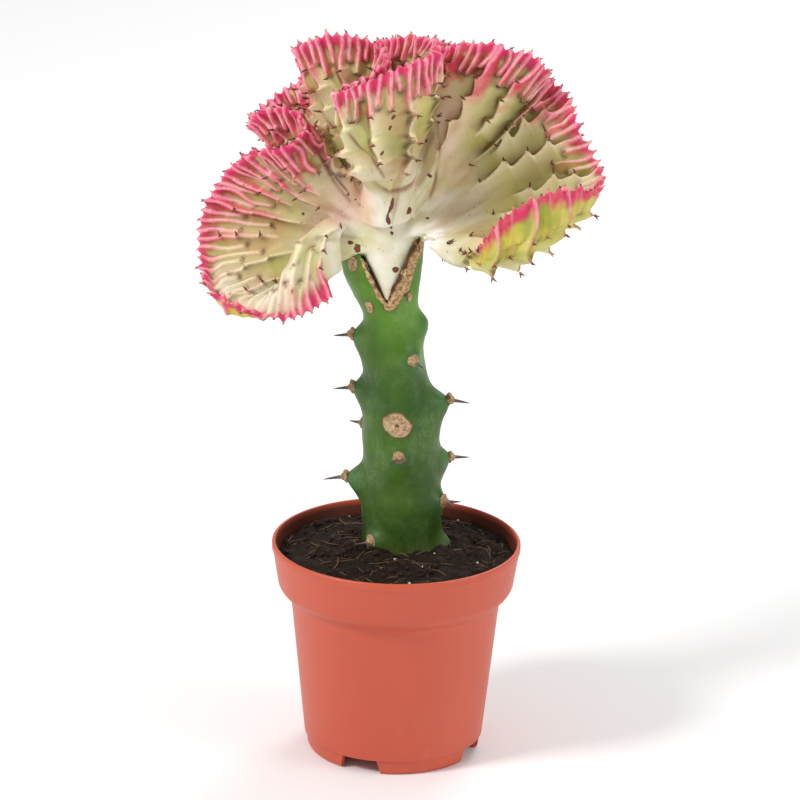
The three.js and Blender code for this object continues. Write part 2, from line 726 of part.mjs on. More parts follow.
// The crest without its spines; grow thickens it, for what the callus leaves free.
function crestFlesh(grid, grow = 0) {
  return join([makeWedge(grow), ...makeFan(grow), ...blocksOf(bladeSkins(grid, grow))]);
}

function makeCrest(grid) {
  const spines = makeSpines(grid, bladeSkins(grid));
  return wholeBody(join([crestFlesh(grid), ...spines]).subtract(grownStem()));
}

// ---------------------------------------------------------------- callus
// The joint shows as a V on the front of the stem (side 1) and on its back (side -1).
function callusPath(side) {
  const onSkin = (x, z) => {
    const stem = stemAt(Math.min(z, CLEFT.top - 6));
    const across = THREE.MathUtils.clamp((x - stem.x) / stem.width, -1, 1);
    return new THREE.Vector3(x, stem.y - side * stem.depth * Math.sqrt(1 - across ** 2), z);
  };
  const arm = (share, end, aside) => onSkin(
    lerp(CLEFT.x, end, share) + aside, lerp(CLEFT.bottom, CLEFT.top, share));
  return new THREE.CatmullRomCurve3([
    ...[0.62, 0.42, 0.2].map((share) => arm(share, CLEFT.leftX, -2.6)),
    onSkin(CLEFT.x + 0.4, CLEFT.bottom - 2.4),
    ...[0.2, 0.45, 0.7, 0.92].map((share) => arm(share, CLEFT.rightX, 3.6)),
  ], false, "centripetal");
}

// A corky cord along one V: thick on the +X arm and thin on the other.
function makeCallus(side, neighbours) {
  const path = callusPath(side);
  const steps = CALLUS.steps;
  const rings = [];
  for (let k = 0; k <= steps; k++) {
    const f = k / steps;
    const at = path.getPointAt(f);
    const along = path.getTangentAt(f);
    const out = new THREE.Vector3(at.x + 7, at.y - 5, 0).normalize();
    const across = along.clone().cross(out).normalize();
    out.crossVectors(across, along).normalize();
    const thick = smoothstep(at.x, CLEFT.x - 3, CLEFT.x + 6);
    const end = Math.sqrt(smoothstep(Math.min(f, 1 - f), -0.02, 0.09));
    const wide = CALLUS.radius * (0.62 + 0.5 * thick) * (1 + CALLUS.sway * hash(k + side)) * end;
    const high = CALLUS.radius * (0.6 + 0.12 * thick) * (1 + CALLUS.sway * hash(k + 50 + side)) * end;
    const ring = [];
    for (let s = 0; s < CALLUS.sides; s++) {
      const a = (s / CALLUS.sides) * 2 * Math.PI;
      ring.push(at.clone().addScaledVector(across, Math.cos(a) * wide)
        .addScaledVector(out, Math.sin(a) * high));
    }
    rings.push(ring);
  }
  return wholeBody(loft(rings).subtract(neighbours));
}

// ---------------------------------------------------------------- the model
function material(color, roughness) {
  return new THREE.MeshStandardMaterial({ color, roughness, metalness: 0 });
}

function named(name, solid, look) {
  const mesh = new THREE.Mesh(geometryOf(solid), look);
  mesh.name = name;
  return mesh;
}

const potted = new THREE.Group();
const rootstock = makeRootstock();
const grid = bladeGrid();
const crest = makeCrest(grid);
const neighbours = join([crestFlesh(grid, GAP), crest, grownStem()]);
potted.add(
  named("pot", makePot(), material(0xc9634a, 0.45)),
  named("soil", makeSoil(), material(0x2a1c14, 0.95)),
  named("rootstock", rootstock, material(0x3f7a3a, 0.55)),
  named("crest", crest, material(0xb9b27a, 0.5)),
  named("callus_front", makeCallus(1, neighbours), material(0xa9835a, 0.85)),
  named("callus_back", makeCallus(-1, neighbours), material(0xa9835a, 0.85)),
);

export default potted;
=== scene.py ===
"""Looks of the potted crest euphorbia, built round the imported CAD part. Metres, +Z up.

The shapes repeat the part's own named values, in millimetres, with finer repeats.
"""

import math

import bmesh
import bpy
import numpy as np
from mathutils import Matrix, Vector
from mathutils.bvhtree import BVHTree


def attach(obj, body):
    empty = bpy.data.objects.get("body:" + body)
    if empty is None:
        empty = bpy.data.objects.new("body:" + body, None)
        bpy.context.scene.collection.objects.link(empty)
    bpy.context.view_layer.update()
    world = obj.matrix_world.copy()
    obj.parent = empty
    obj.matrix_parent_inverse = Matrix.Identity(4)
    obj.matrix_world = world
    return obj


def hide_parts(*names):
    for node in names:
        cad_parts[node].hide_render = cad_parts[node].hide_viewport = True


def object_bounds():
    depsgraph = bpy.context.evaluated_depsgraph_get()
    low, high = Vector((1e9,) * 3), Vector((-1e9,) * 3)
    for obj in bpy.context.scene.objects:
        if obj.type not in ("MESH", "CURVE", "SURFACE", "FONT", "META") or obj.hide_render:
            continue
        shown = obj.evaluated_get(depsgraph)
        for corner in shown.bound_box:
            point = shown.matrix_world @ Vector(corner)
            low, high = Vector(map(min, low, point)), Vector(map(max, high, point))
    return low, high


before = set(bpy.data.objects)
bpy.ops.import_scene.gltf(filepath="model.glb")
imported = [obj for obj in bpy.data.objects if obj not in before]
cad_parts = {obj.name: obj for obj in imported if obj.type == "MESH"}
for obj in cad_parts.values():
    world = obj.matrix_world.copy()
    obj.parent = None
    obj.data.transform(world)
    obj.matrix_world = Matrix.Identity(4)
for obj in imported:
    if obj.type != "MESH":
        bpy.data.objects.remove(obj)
CAD_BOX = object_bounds()
MM = 0.001
rng = np.random.default_rng(20)


# ================================================================ camera, light, floor
def aim(azimuth, elevation, roll):
    """Camera axes for a look direction: azimuth from +Y towards +X, elevation below the horizon."""
    a, e, k = map(math.radians, (azimuth, elevation, roll))
    look = Vector((math.sin(a) * math.cos(e), math.cos(a) * math.cos(e), -math.sin(e)))
    right = look.cross(Vector((0, 0, 1))).normalized()
    up = right.cross(look)
    return look, right * math.cos(k) + up * math.sin(k), up * math.cos(k) - right * math.sin(k)


CAMERA_AT = Vector((0, -2.4, 1.017113))
LOOK, RIGHT, UP = aim(0.0139, 19.292, 1.0)
FRAME_PX = 800
FOCAL_PX = 5320


def make_camera():
    cam = bpy.data.objects.new("camera", bpy.data.cameras.new("camera"))
    cam.data.sensor_width = 36
    cam.data.lens = 36 * FOCAL_PX / FRAME_PX
    turn = Matrix((RIGHT, UP, -LOOK)).transposed().to_4x4()
    cam.matrix_world = Matrix.Translation(CAMERA_AT) @ turn
    cam.data.clip_end = 100
    bpy.context.collection.objects.link(cam)
    bpy.context.scene.camera = cam


def area_light(name, at, target, size, power, colour=(1, 1, 1)):
    lamp = bpy.data.objects.new(name, bpy.data.lights.new(name, "AREA"))
    lamp.data.shape = "DISK"
    lamp.data.size = size
    lamp.data.energy = power
    lamp.data.color = colour
    lamp.location = at
    lamp.rotation_euler = (Vector(target) - Vector(at)).to_track_quat("-Z", "Y").to_euler()
    bpy.context.collection.objects.link(lamp)


def make_studio():
    scene = bpy.context.scene
    scene.view_settings.view_transform = "Standard"
    world = bpy.data.worlds.new("studio")
    world.use_nodes = True
    world.node_tree.nodes["Background"].inputs["Color"].default_value = (1, 1, 1, 1)
    world.node_tree.nodes["Background"].inputs["Strength"].default_value = 0.55
    scene.world = world
    middle = (0, 0, 0.2)
    area_light("key", (-1.55, -0.95, 1.75), middle, 0.6, 34)
    area_light("fill", (1.7, -0.7, 0.9), middle, 1.2, 12)
    area_light("rim", (0.7, 1.5, 1.5), middle, 1.0, 14)
    bpy.ops.mesh.primitive_plane_add(size=14, location=(0, 3, 0))
    floor = bpy.context.object
    floor.name = "floor"
    look = bpy.data.materials.new("floor")
    look.use_nodes = True
    shader = look.node_tree.nodes["Principled BSDF"]
    shader.inputs["Base Color"].default_value = (0.93, 0.93, 0.93, 1)
    shader.inputs["Roughness"].default_value = 0.9
    floor.data.materials.append(look)


make_camera()
make_studio()


# ================================================================ small tools
def lerp(a, b, t):
    return a + (b - a) * t


def smoothstep(x, a, b):
    t = np.clip((x - a) / (b - a), 0, 1)
    return t * t * (3 - 2 * t)


def hash01(ix, iy, iz, seed):
    with np.errstate(over="ignore"):
        n = ix * 73856093 ^ iy * 19349663 ^ iz * 83492791 ^ (seed * 2654435761 + 97)
        n = (n ^ (n >> 13)) * 1274126177
        n = n & 0xFFFFFFFF
        n = (n ^ (n >> 16)) * 73244475
    return (n & 0xFFFF) / 65536.0


def noise(p, size, seed=0):
    """Smooth noise from -1 to 1 at points p, (n, 3) in mm, with bumps of that size."""
    q = np.asarray(p, float) / size
    i = np.floor(q).astype(np.int64)
    f = q - i
    f = f * f * (3 - 2 * f)
    total = np.zeros(len(q))
    for dx in (0, 1):
        for dy in (0, 1):
            for dz in (0, 1):
                w = (
                    (f[:, 0] if dx else 1 - f[:, 0])
                    * (f[:, 1] if dy else 1 - f[:, 1])
                    * (f[:, 2] if dz else 1 - f[:, 2])
                )
                total += w * hash01(i[:, 0] + dx, i[:, 1] + dy, i[:, 2] + dz, seed)
    return 2 * total - 1


def fractal(p, size, seed=0, octaves=3):
    return sum(noise(p, size / 2**k, seed + k) / 2**k for k in range(octaves))


def unit(v):
    return v / np.maximum(np.linalg.norm(v, axis=-1, keepdims=True), 1e-9)


def make_mesh(name, points, faces, attributes=None, smooth=True):
    """A mesh object from points in mm and a list of quad and triangle arrays."""
    faces = [f for f in (faces if isinstance(faces, list) else [faces]) if len(f)]
    mesh = bpy.data.meshes.new(name)
    mesh.vertices.add(len(points))
    mesh.vertices.foreach_set("co", (np.asarray(points, float) * MM).ravel())
    loops = np.concatenate([f.ravel() for f in faces])
    sizes = np.concatenate([np.full(len(f), f.shape[1]) for f in faces])
    mesh.loops.add(len(loops))
    mesh.loops.foreach_set("vertex_index", loops)
    mesh.polygons.add(len(sizes))
    starts = np.concatenate([[0], np.cumsum(sizes)[:-1]])
    mesh.polygons.foreach_set("loop_start", starts)
    mesh.polygons.foreach_set("loop_total", sizes)
    mesh.update(calc_edges=True)
    mesh.validate()
    for key, values in (attributes or {}).items():
        made = mesh.attributes.new(key, "FLOAT", "POINT")
        made.data.foreach_set("value", np.asarray(values, float))
    if smooth:
        mesh.polygons.foreach_set("use_smooth", np.ones(len(mesh.polygons), bool))
    thing = bpy.data.objects.new(name, mesh)
    bpy.context.collection.objects.link(thing)
    return thing


def piece(thing, slot, look, *nodes):
    """Gives an object its material and its place in the part."""
    thing.data.materials.clear()
    thing.data.materials.append(look)
    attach(thing, "root")
    if nodes:
        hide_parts(*nodes)


def grid_faces(rows, columns, closed=False, start=0):
    """Quads of a rows x columns grid of points numbered row by row."""
    k = np.arange(columns if closed else columns - 1)
    r = np.arange(rows - 1)[:, None]
    a = start + r * columns + k
    b = start + r * columns + (k + 1) % columns
    return np.stack([a, b, b + columns, a + columns], -1).reshape(-1, 4)


def points_of(thing):
    co = np.empty(len(thing.data.vertices) * 3)
    thing.data.vertices.foreach_get("co", co)
    return co.reshape(-1, 3) / MM


def normals_of(thing):
    no = np.empty(len(thing.data.vertices) * 3)
    thing.data.vertices.foreach_get("normal", no)
    return no.reshape(-1, 3)


def set_points(thing, points):
    thing.data.vertices.foreach_set("co", (points * MM).ravel())
    thing.data.update()


def add_attribute(thing, key, values):
    made = thing.data.attributes.new(key, "FLOAT", "POINT")
    made.data.foreach_set("value", np.asarray(values, float))


def applied(thing):
    """The object with its modifiers applied."""
    bpy.context.view_layer.update()
    graph = bpy.context.evaluated_depsgraph_get()
    mesh = bpy.data.meshes.new_from_object(thing.evaluated_get(graph))
    thing.modifiers.clear()
    thing.data = mesh
    return thing


def remeshed(thing, voxel):
    mod = thing.modifiers.new("voxels", "REMESH")
    mod.mode = "VOXEL"
    mod.voxel_size = voxel * MM
    mod.use_smooth_shade = True
    return applied(thing)


def turned_outwards(thing):
    bm = bmesh.new()
    bm.from_mesh(thing.data)
    bmesh.ops.recalc_face_normals(bm, faces=bm.faces)
    bm.to_mesh(thing.data)
    bm.free()
    return thing


def cut(thing, cutters):
    for cutter in map(turned_outwards, cutters):
        mod = thing.modifiers.new("cut", "BOOLEAN")
        mod.operation = "DIFFERENCE"
        mod.solver = "EXACT"
        mod.object = cutter
    applied(thing)
    for cutter in cutters:
        bpy.data.objects.remove(cutter)
    return thing


def shade_by_angle(thing, degrees):
    bm = bmesh.new()
    bm.from_mesh(thing.data)
    limit = math.radians(degrees)
    for face in bm.faces:
        face.smooth = True
    for edge in bm.edges:
        edge.smooth = len(edge.link_faces) == 2 and edge.calc_face_angle(0) < limit
    bm.to_mesh(thing.data)
    bm.free()


def smoothed(points, edges, weight, passes):
    """Moves each point towards its neighbours, by its own weight."""
    a, b = edges[:, 0], edges[:, 1]
    count = np.bincount(a, minlength=len(points)) + np.bincount(b, minlength=len(points))
    for _ in range(passes):
        total = np.stack(
            [
                np.bincount(a, points[b, c], len(points)) + np.bincount(b, points[a, c], len(points))
                for c in range(3)
            ],
            -1,
        )
        points = lerp(points, total / np.maximum(count, 1)[:, None], weight[:, None])
    return points


def edges_of(thing):
    e = np.empty(len(thing.data.edges) * 2, np.int32)
    thing.data.edges.foreach_get("vertices", e)
    return e.reshape(-1, 2)


# ================================================================ materials
class Look:
    """A procedural material, wired step by step."""

    def __init__(self, name):
        self.material = bpy.data.materials.new(name)
        self.material.use_nodes = True
        self.tree = self.material.node_tree
        self.shader = self.tree.nodes["Principled BSDF"]
        self.place = self.tree.nodes.new("ShaderNodeTexCoord").outputs["Object"]

    def node(self, kind, inputs=None, **settings):
        made = self.tree.nodes.new(kind)
        for key, value in settings.items():
            setattr(made, key, value)
        for key, value in (inputs or {}).items():
            self.feed(made.inputs[key], value)
        return made

    def feed(self, socket, value):
        if isinstance(value, bpy.types.NodeSocket):
            self.tree.links.new(value, socket)
        else:
            socket.default_value = value

    def attribute(self, name):
        return self.node("ShaderNodeAttribute", attribute_name=name).outputs["Fac"]

    def noise(self, size, detail=2.0, rough=0.5, stretch=None, distortion=0.0):
        """Noise whose bumps are about size mm."""
        place = self.place
        if stretch:
            place = self.node("ShaderNodeMapping", {"Vector": place, "Scale": stretch}).outputs[0]
        return self.node(
            "ShaderNodeTexNoise",
            {"Vector": place, "Scale": 600 / size, "Detail": detail, "Roughness": rough, "Distortion": distortion},
        ).outputs["Fac"]

    def dots(self, size, feature="F1"):
        """Distance to the nearest of scattered spots about size mm apart, 0 at a spot."""
        return self.node(
            "ShaderNodeTexVoronoi", {"Vector": self.place, "Scale": 1000 / size}, feature=feature
        ).outputs["Distance"]

    def ramp(self, fac, stops):
        made = self.node("ShaderNodeValToRGB", {"Fac": fac})
        ramp = made.color_ramp
        while len(ramp.elements) < len(stops):
            ramp.elements.new(0.5)
        for element, (at, colour) in zip(ramp.elements, stops):
            element.position = at
            element.color = (*(colour if isinstance(colour, tuple) else (colour,) * 3), 1)
        return made.outputs["Color"]

    def level(self, fac, low, high, out_low=0.0, out_high=1.0):
        return self.node(
            "ShaderNodeMapRange",
            {"Value": fac, "From Min": low, "From Max": high, "To Min": out_low, "To Max": out_high},
        ).outputs["Result"]

    def math(self, operation, a, b=0.0):
        made = self.node("ShaderNodeMath", operation=operation)
        self.feed(made.inputs[0], a)
        self.feed(made.inputs[1], b)
        return made.outputs[0]

    def mix(self, fac, a, b, blend="MIX"):
        made = self.node("ShaderNodeMix", data_type="RGBA", blend_type=blend)
        self.feed(made.inputs["Factor"], fac)
        for socket, value in ((made.inputs[6], a), (made.inputs[7], b)):
            self.feed(socket, value if isinstance(value, bpy.types.NodeSocket) else (*value, 1))
        return made.outputs[2]

    def bump(self, height, strength, distance, before=None):
        made = self.node(
            "ShaderNodeBump", {"Height": height, "Strength": strength, "Distance": distance * MM}
        )
        if before:
            self.feed(made.inputs["Normal"], before)
        return made.outputs["Normal"]

    def finish(self, colour, roughness, normal=None, **fixed):
        self.feed(self.shader.inputs["Base Color"], colour)
        self.feed(self.shader.inputs["Roughness"], roughness)
        if normal:
            self.feed(self.shader.inputs["Normal"], normal)
        for key, value in fixed.items():
            self.shader.inputs[key.replace("_", " ")].default_value = value
        return self.material


def srgb(r, g, b):
    """Linear colour of an sRGB colour given from 0 to 255."""
    return tuple(c / 12.92 if c <= 0.04045 else ((c + 0.055) / 1.055) ** 2.4 for c in (r / 255, g / 255, b / 255))


def plastic_look():
    look = Look("terracotta_plastic")
    clouds = look.noise(38, 3)
    fine = look.noise(0.9, 2)
    scuff = look.noise(9, 5, 0.62, stretch=(1, 1, 0.35))
    colour = look.mix(clouds, srgb(190, 79, 53), srgb(199, 88, 62))
    colour = look.mix(look.level(scuff, 0.62, 0.8, 0, 0.12), colour, srgb(222, 140, 116))
    # the inside of the wall, from the band up to just under the lip, is painted darker
    colour = look.mix(look.math("MULTIPLY", look.attribute("inner_wall_dark"), 0.85), colour, srgb(64, 34, 22))
    rough = look.math("ADD", look.level(scuff, 0.3, 0.8, 0.4, 0.48), look.level(fine, 0.3, 0.7, -0.03, 0.03))
    normal = look.bump(fine, 0.12, 0.12, look.bump(clouds, 0.1, 0.6))
    return look.finish(colour, rough, normal, Specular_IOR_Level=0.45)


def soil_look(name, dark, light, rough=0.95):
    look = Look(name)
    clods = look.noise(3.2, 6, 0.65)
    grains = look.noise(0.5, 3, 0.7)
    colour = look.mix(clods, srgb(*dark), srgb(*light))
    colour = look.mix(look.level(look.dots(1.7), 0.0, 0.18, 0.7, 0), colour, srgb(112, 82, 54))
    normal = look.bump(grains, 0.8, 0.5, look.bump(clods, 0.7, 1.2))
    return look.finish(colour, look.level(grains, 0.3, 0.7, rough - 0.12, rough + 0.03), normal, Specular_IOR_Level=0.25)


def fibre_look():
    look = Look("dry_fibre")
    strands = look.noise(0.7, 4, 0.7)
    colour = look.mix(strands, srgb(66, 44, 28), srgb(132, 100, 66))
    return look.finish(colour, look.level(strands, 0.3, 0.7, 0.75, 0.95), look.bump(strands, 0.6, 0.2))


def perlite_look():
    look = Look("pale_grit")
    pits = look.dots(0.6)
    colour = look.mix(look.noise(0.8, 3), srgb(226, 220, 208), srgb(188, 178, 160))
    return look.finish(colour, look.level(pits, 0, 0.6, 0.95, 0.75), look.bump(pits, 0.8, 0.25))


def stem_look():
    look = Look("green_skin")
    knob = look.attribute("knob")
    clouds = look.noise(16, 3, 0.55)
    streaks = look.noise(5, 4, 0.6, stretch=(1, 1, 0.25))
    fine = look.noise(0.8, 3, 0.6)
    height = look.node("ShaderNodeSeparateXYZ", {"Vector": look.place}).outputs["Z"]
    bloom = look.noise(11, 4, 0.6)
    colour = look.mix(look.level(height, 0.1, 0.24), srgb(36, 66, 8), srgb(50, 94, 14))
    colour = look.mix(look.level(clouds, 0.35, 0.7, 0, 0.6), colour, srgb(84, 118, 22))
    colour = look.mix(look.level(streaks, 0.5, 0.75, 0, 0.5), colour, srgb(22, 50, 12))
    glow = look.math("MULTIPLY", look.level(height, 0.188, 0.222), look.level(bloom, 0.35, 0.6, 0.35, 0.85))
    colour = look.mix(glow, colour, srgb(92, 142, 24))
    colour = look.mix(look.level(knob, 0.15, 0.9, 0, 0.6), colour, srgb(60, 112, 64))
    colour = look.mix(look.level(height, 0.108, 0.098, 0, 0.7), colour, srgb(76, 70, 26))
    # pale patches: partly the skin's waxy bloom, partly a painted sheen
    bloom_and_sheen = look.math("MULTIPLY", look.level(bloom, 0.46, 0.72), look.level(fine, 0.42, 0.62, 0.2, 0.6))
    bloom_and_sheen = look.math("MULTIPLY", bloom_and_sheen, look.level(height, 0.11, 0.15, 0.3, 1))
    colour = look.mix(bloom_and_sheen, colour, srgb(124, 152, 98))
    colour = look.mix(look.level(look.dots(2.4), 0.05, 0.12, 0.35, 0), colour, srgb(104, 128, 58))
    colour = look.mix(look.level(look.dots(6.5), 0.02, 0.045, 0.7, 0), colour, srgb(64, 58, 28))
    colour = look.mix(look.level(streaks, 0.3, 0.42, 0.35, 0), colour, srgb(98, 128, 52))
    rough = look.math("ADD", look.level(clouds, 0.3, 0.7, 0.36, 0.5), look.level(fine, 0.3, 0.7, -0.04, 0.06))
    normal = look.bump(fine, 0.2, 0.18, look.bump(streaks, 0.3, 0.7))
    return look.finish(
        colour, rough, normal, Specular_IOR_Level=0.35, Subsurface_Weight=0.04, Subsurface_Scale=0.003
    )


def wood_look(name, dark, light):
    look = Look(name)
    grain = look.noise(1.1, 6, 0.7)
    rings = look.noise(3.5, 3, 0.6, distortion=1.2)
    colour = look.mix(look.level(grain, 0.34, 0.66), srgb(*dark), srgb(*light))
    colour = look.mix(look.level(rings, 0.5, 0.7, 0, 0.75), colour, srgb(84, 54, 34))
    normal = look.bump(grain, 0.8, 0.4, look.bump(rings, 0.5, 0.6))
    return look.finish(colour, look.level(grain, 0.3, 0.7, 0.92, 0.72), normal, Specular_IOR_Level=0.3)


def scar_look():
    look = Look("leaf_scar")
    far = look.attribute("far")
    grain = look.noise(1.2, 5, 0.7)
    pits = look.dots(1.1)
    colour = look.mix(look.level(grain, 0.35, 0.65), srgb(146, 110, 74), srgb(216, 190, 150))
    colour = look.mix(look.level(pits, 0.1, 0.3, 0.55, 0), colour, srgb(96, 64, 40))
    colour = look.mix(look.level(far, 0.2, 0.12, 0, 0.8), colour, srgb(84, 56, 36))
    colour = look.mix(look.level(far, 0.86, 0.97, 0, 0.8), colour, srgb(112, 80, 50))
    normal = look.bump(grain, 0.8, 0.4, look.bump(pits, 0.7, 0.4))
    return look.finish(colour, look.level(grain, 0.3, 0.7, 0.92, 0.72), normal, Specular_IOR_Level=0.3)


def callus_look(name):
    look = Look(name)
    border = look.attribute("border")
    grain = look.noise(1.3, 5, 0.75)
    patch = look.noise(4, 3, 0.6)
    pits = look.dots(1.3)
    colour = look.mix(look.level(grain, 0.38, 0.62), srgb(120, 78, 42), srgb(226, 192, 142))
    colour = look.mix(look.level(patch, 0.5, 0.7, 0, 0.5), colour, srgb(172, 128, 98))
    colour = look.mix(look.level(pits, 0.08, 0.26, 0.75, 0), colour, srgb(84, 50, 28))
    colour = look.mix(look.level(border, 0.5, 0.85, 0, 0.95), colour, srgb(70, 42, 26))
    normal = look.bump(grain, 0.9, 0.5, look.bump(pits, 0.7, 0.5))
    return look.finish(colour, look.level(grain, 0.3, 0.7, 0.92, 0.7), normal, Specular_IOR_Level=0.3)


def thorn_look():
    look = Look("thorn")
    along = look.attribute("along")
    fine = look.noise(0.7, 3)
    colour = look.ramp(along, [(0.0, srgb(170, 140, 104)), (0.25, srgb(104, 84, 72)), (0.7, srgb(58, 48, 46)), (1.0, srgb(34, 26, 24))])
    colour = look.mix(look.level(fine, 0.45, 0.75, 0, 0.5), colour, srgb(138, 120, 104))
    return look.finish(colour, look.level(fine, 0.3, 0.7, 0.4, 0.6), look.bump(fine, 0.4, 0.15))


def spine_look():
    look = Look("crest_spine")
    along = look.attribute("along")
    fine = look.noise(0.5, 2)
    gold = look.attribute("gold")
    colour = look.ramp(along, [(0.0, srgb(204, 136, 112)), (0.25, srgb(140, 80, 56)), (0.6, srgb(78, 40, 30)), (1.0, srgb(40, 22, 18))])
    colour = look.mix(gold, colour, look.mix(along, srgb(232, 186, 142), srgb(176, 110, 56)))
    colour = look.mix(look.level(fine, 0.5, 0.8, 0, 0.4), colour, srgb(196, 150, 96))
    return look.finish(colour, look.level(fine, 0.3, 0.7, 0.45, 0.65), look.bump(fine, 0.3, 0.1))


def scab_look():
    look = Look("scab")
    grain = look.noise(0.6, 5, 0.7)
    colour = look.mix(grain, srgb(74, 36, 26), srgb(142, 84, 58))
    return look.finish(colour, look.level(grain, 0.3, 0.7, 0.6, 0.9), look.bump(grain, 0.7, 0.3))


def crest_look():
    look = Look("crest_skin")
    names = ("line", "cream", "blush", "dusty", "ridge", "lime", "tip", "rim", "deep", "veins", "hollow_shade", "proud")
    line, cream, blush, dusty, ridge, lime, tip, rim, deep, veins, hollow_shade, proud = map(look.attribute, names)
    dim, lit, crease_and_shade, rosy = map(look.attribute, ("dim", "lit", "crease_and_shade", "rosy"))
    clouds = look.noise(16, 3, 0.55)
    blotch = look.noise(4, 4, 0.6)
    tinted = look.noise(22, 3, 0.6)
    fine = look.noise(0.7, 3, 0.6)
    # furrows: olive and sage in clouds, dusty pink in places, cream by the core; painted light and painted shade on the
    # two sides of the long crests, painted shade in the furrows and the creases
    colour = look.mix(look.level(clouds, 0.32, 0.68), srgb(150, 144, 52), srgb(214, 204, 126))
    colour = look.mix(look.level(blotch, 0.45, 0.8, 0, 0.45), colour, srgb(126, 138, 44))
    colour = look.mix(dusty, colour, srgb(212, 158, 120))
    outside = look.mix(look.level(clouds, 0.4, 0.6), srgb(158, 164, 34), srgb(206, 192, 66))
    colour = look.mix(lime, colour, outside)
    colour = look.mix(look.math("MULTIPLY", rosy, 0.6), colour, srgb(150, 122, 58))
    # painted light on the lit side of each long crest, painted shade on its dim side
    lit = look.math("MULTIPLY", lit, look.level(lime, 0, 1, 0.9, 0.25))
    colour = look.mix(lit, colour, srgb(248, 236, 194))
    colour = look.mix(look.math("MULTIPLY", dim, 0.7), colour, look.mix(rosy, srgb(98, 92, 30), srgb(122, 64, 40)))
    core = look.mix(look.level(clouds, 0.36, 0.62), srgb(244, 240, 228), srgb(206, 200, 142))
    core = look.mix(look.level(tinted, 0.46, 0.62, 0, 0.65), core, srgb(228, 180, 158))
    colour = look.mix(cream, colour, core)
    colour = look.mix(look.math("MULTIPLY", veins, 0.45), colour, srgb(178, 130, 96))
    # painted shade in the furrows
    colour = look.mix(look.math("MULTIPLY", hollow_shade, 0.6), colour, srgb(112, 84, 40))
    # the creases painted pinkish-brown, partly their own colour and partly painted shade
    colour = look.mix(look.math("MULTIPLY", crease_and_shade, 0.75), colour, srgb(132, 70, 50))
    # pink flush: brick in the furrows, pink on the ribs, magenta by the rim, with painted dark crimson shade deep in
    # the furrows; then the painted dark brown shade beside the crests and in front of the knobs
    furrow = look.mix(look.level(blotch, 0.3, 0.7), srgb(176, 80, 46), srgb(154, 36, 46))
    rib = look.mix(look.level(blotch, 0.3, 0.7), srgb(230, 94, 96), srgb(222, 40, 98))
    flush = look.mix(look.level(ridge, 0.3, 0.95), furrow, rib)
    flush = look.mix(look.math("MULTIPLY", rim, 0.75), flush, srgb(226, 20, 106))
    # painted dark crimson shade in the furrows of the flush
    flush = look.mix(look.math("MULTIPLY", hollow_shade, 0.7), flush, srgb(112, 22, 26))
    streak = look.math("MULTIPLY", blush, look.level(blotch, 0.1, 0.55, 0.7, 1.1))
    colour = look.mix(streak, colour, flush)
    # painted dark brown shade beside the tall crests and in front of the knobs
    colour = look.mix(look.math("MULTIPLY", deep, 0.85), colour, srgb(80, 44, 24))
    # crest lines: cream, pinkish in the flush, brown at the spined tips
    pink_line = look.mix(look.level(blotch, 0.35, 0.7), srgb(255, 200, 204), srgb(244, 118, 158))
    pale = look.mix(look.math("MAXIMUM", dusty, rosy), srgb(248, 234, 196), srgb(248, 196, 186))
    pale = look.mix(blush, pale, pink_line)
    pale = look.mix(look.math("MULTIPLY", lime, look.level(blush, 0, 0.5, 0.85, 0.2)), pale, srgb(184, 84, 62))
    proud = look.math("MULTIPLY", proud, look.level(lime, 0, 1, 0.55, 0.1))
    bright = look.math("MAXIMUM", look.level(line, 0.3, 0.95, 0, 0.75), proud)
    colour = look.mix(bright, colour, pale)
    colour = look.mix(look.level(tip, 0.45, 0.95, 0, 0.9), colour, look.mix(fine, srgb(186, 112, 62), srgb(98, 46, 30)))
    # brown freckles of two sizes
    for size, low, high in ((2.6, 0.06, 0.11), (6.5, 0.04, 0.065)):
        freckle = look.math("MULTIPLY", look.level(look.dots(size), low, high, 1, 0), look.level(blotch, 0.44, 0.52))
        colour = look.mix(look.math("MULTIPLY", freckle, 0.85), colour, srgb(100, 58, 40))
    rough = look.math("ADD", look.level(clouds, 0.3, 0.7, 0.4, 0.52), look.level(fine, 0.3, 0.7, -0.05, 0.06))
    normal = look.bump(fine, 0.18, 0.16, look.bump(blotch, 0.22, 0.5))
    return look.finish(
        colour, rough, normal, Specular_IOR_Level=0.45, Subsurface_Weight=0.05, Subsurface_Scale=0.002
    )


# ================================================================ pot
POT_HEIGHT = 105.5
RIM_RADIUS = 60.0
LIP_HEIGHT = 3.6
BAND_BOTTOM_RADIUS = 56.8
BAND_HEIGHT = 22.5
SHOULDER_DROP = 5.5
BODY_TOP_RADIUS = 50.6
BODY_BOTTOM_RADIUS = 43.2
WALL = 1.6
FOOT_HEIGHT = 7.5
FOOT_RADIUS = 42.2
FOOT_ROUNDING = 1.8
FLOOR = 1.8
NOTCHES = 4
NOTCH_FIRST = -22.7  # degrees from the front, towards +X
NOTCH_HALF = 12
DRAIN_RADIUS = 4
DRAIN_RING = 24


def bearing(degrees, radius, z=0.0):
    a = np.radians(degrees)
    return np.stack(np.broadcast_arrays(np.sin(a) * radius, -np.cos(a) * radius, z), -1)


def rounded(profile, radii, steps=5):
    """The closed profile with each corner replaced by an arc of its own radius."""
    made = []
    count = len(profile)
    for k, radius in enumerate(radii):
        p, a, b = (np.array(profile[j % count], float) for j in (k, k - 1, k + 1))
        if not radius:
            made.append(p)
            continue
        da, db = a - p, b - p
        reach = min(radius, 0.45 * np.linalg.norm(da), 0.45 * np.linalg.norm(db))
        start, end = p + unit(da) * reach, p + unit(db) * reach
        for s in np.linspace(0, 1, steps):
            made.append((1 - s) ** 2 * start + 2 * s * (1 - s) * p + s**2 * end)
    return np.array(made)


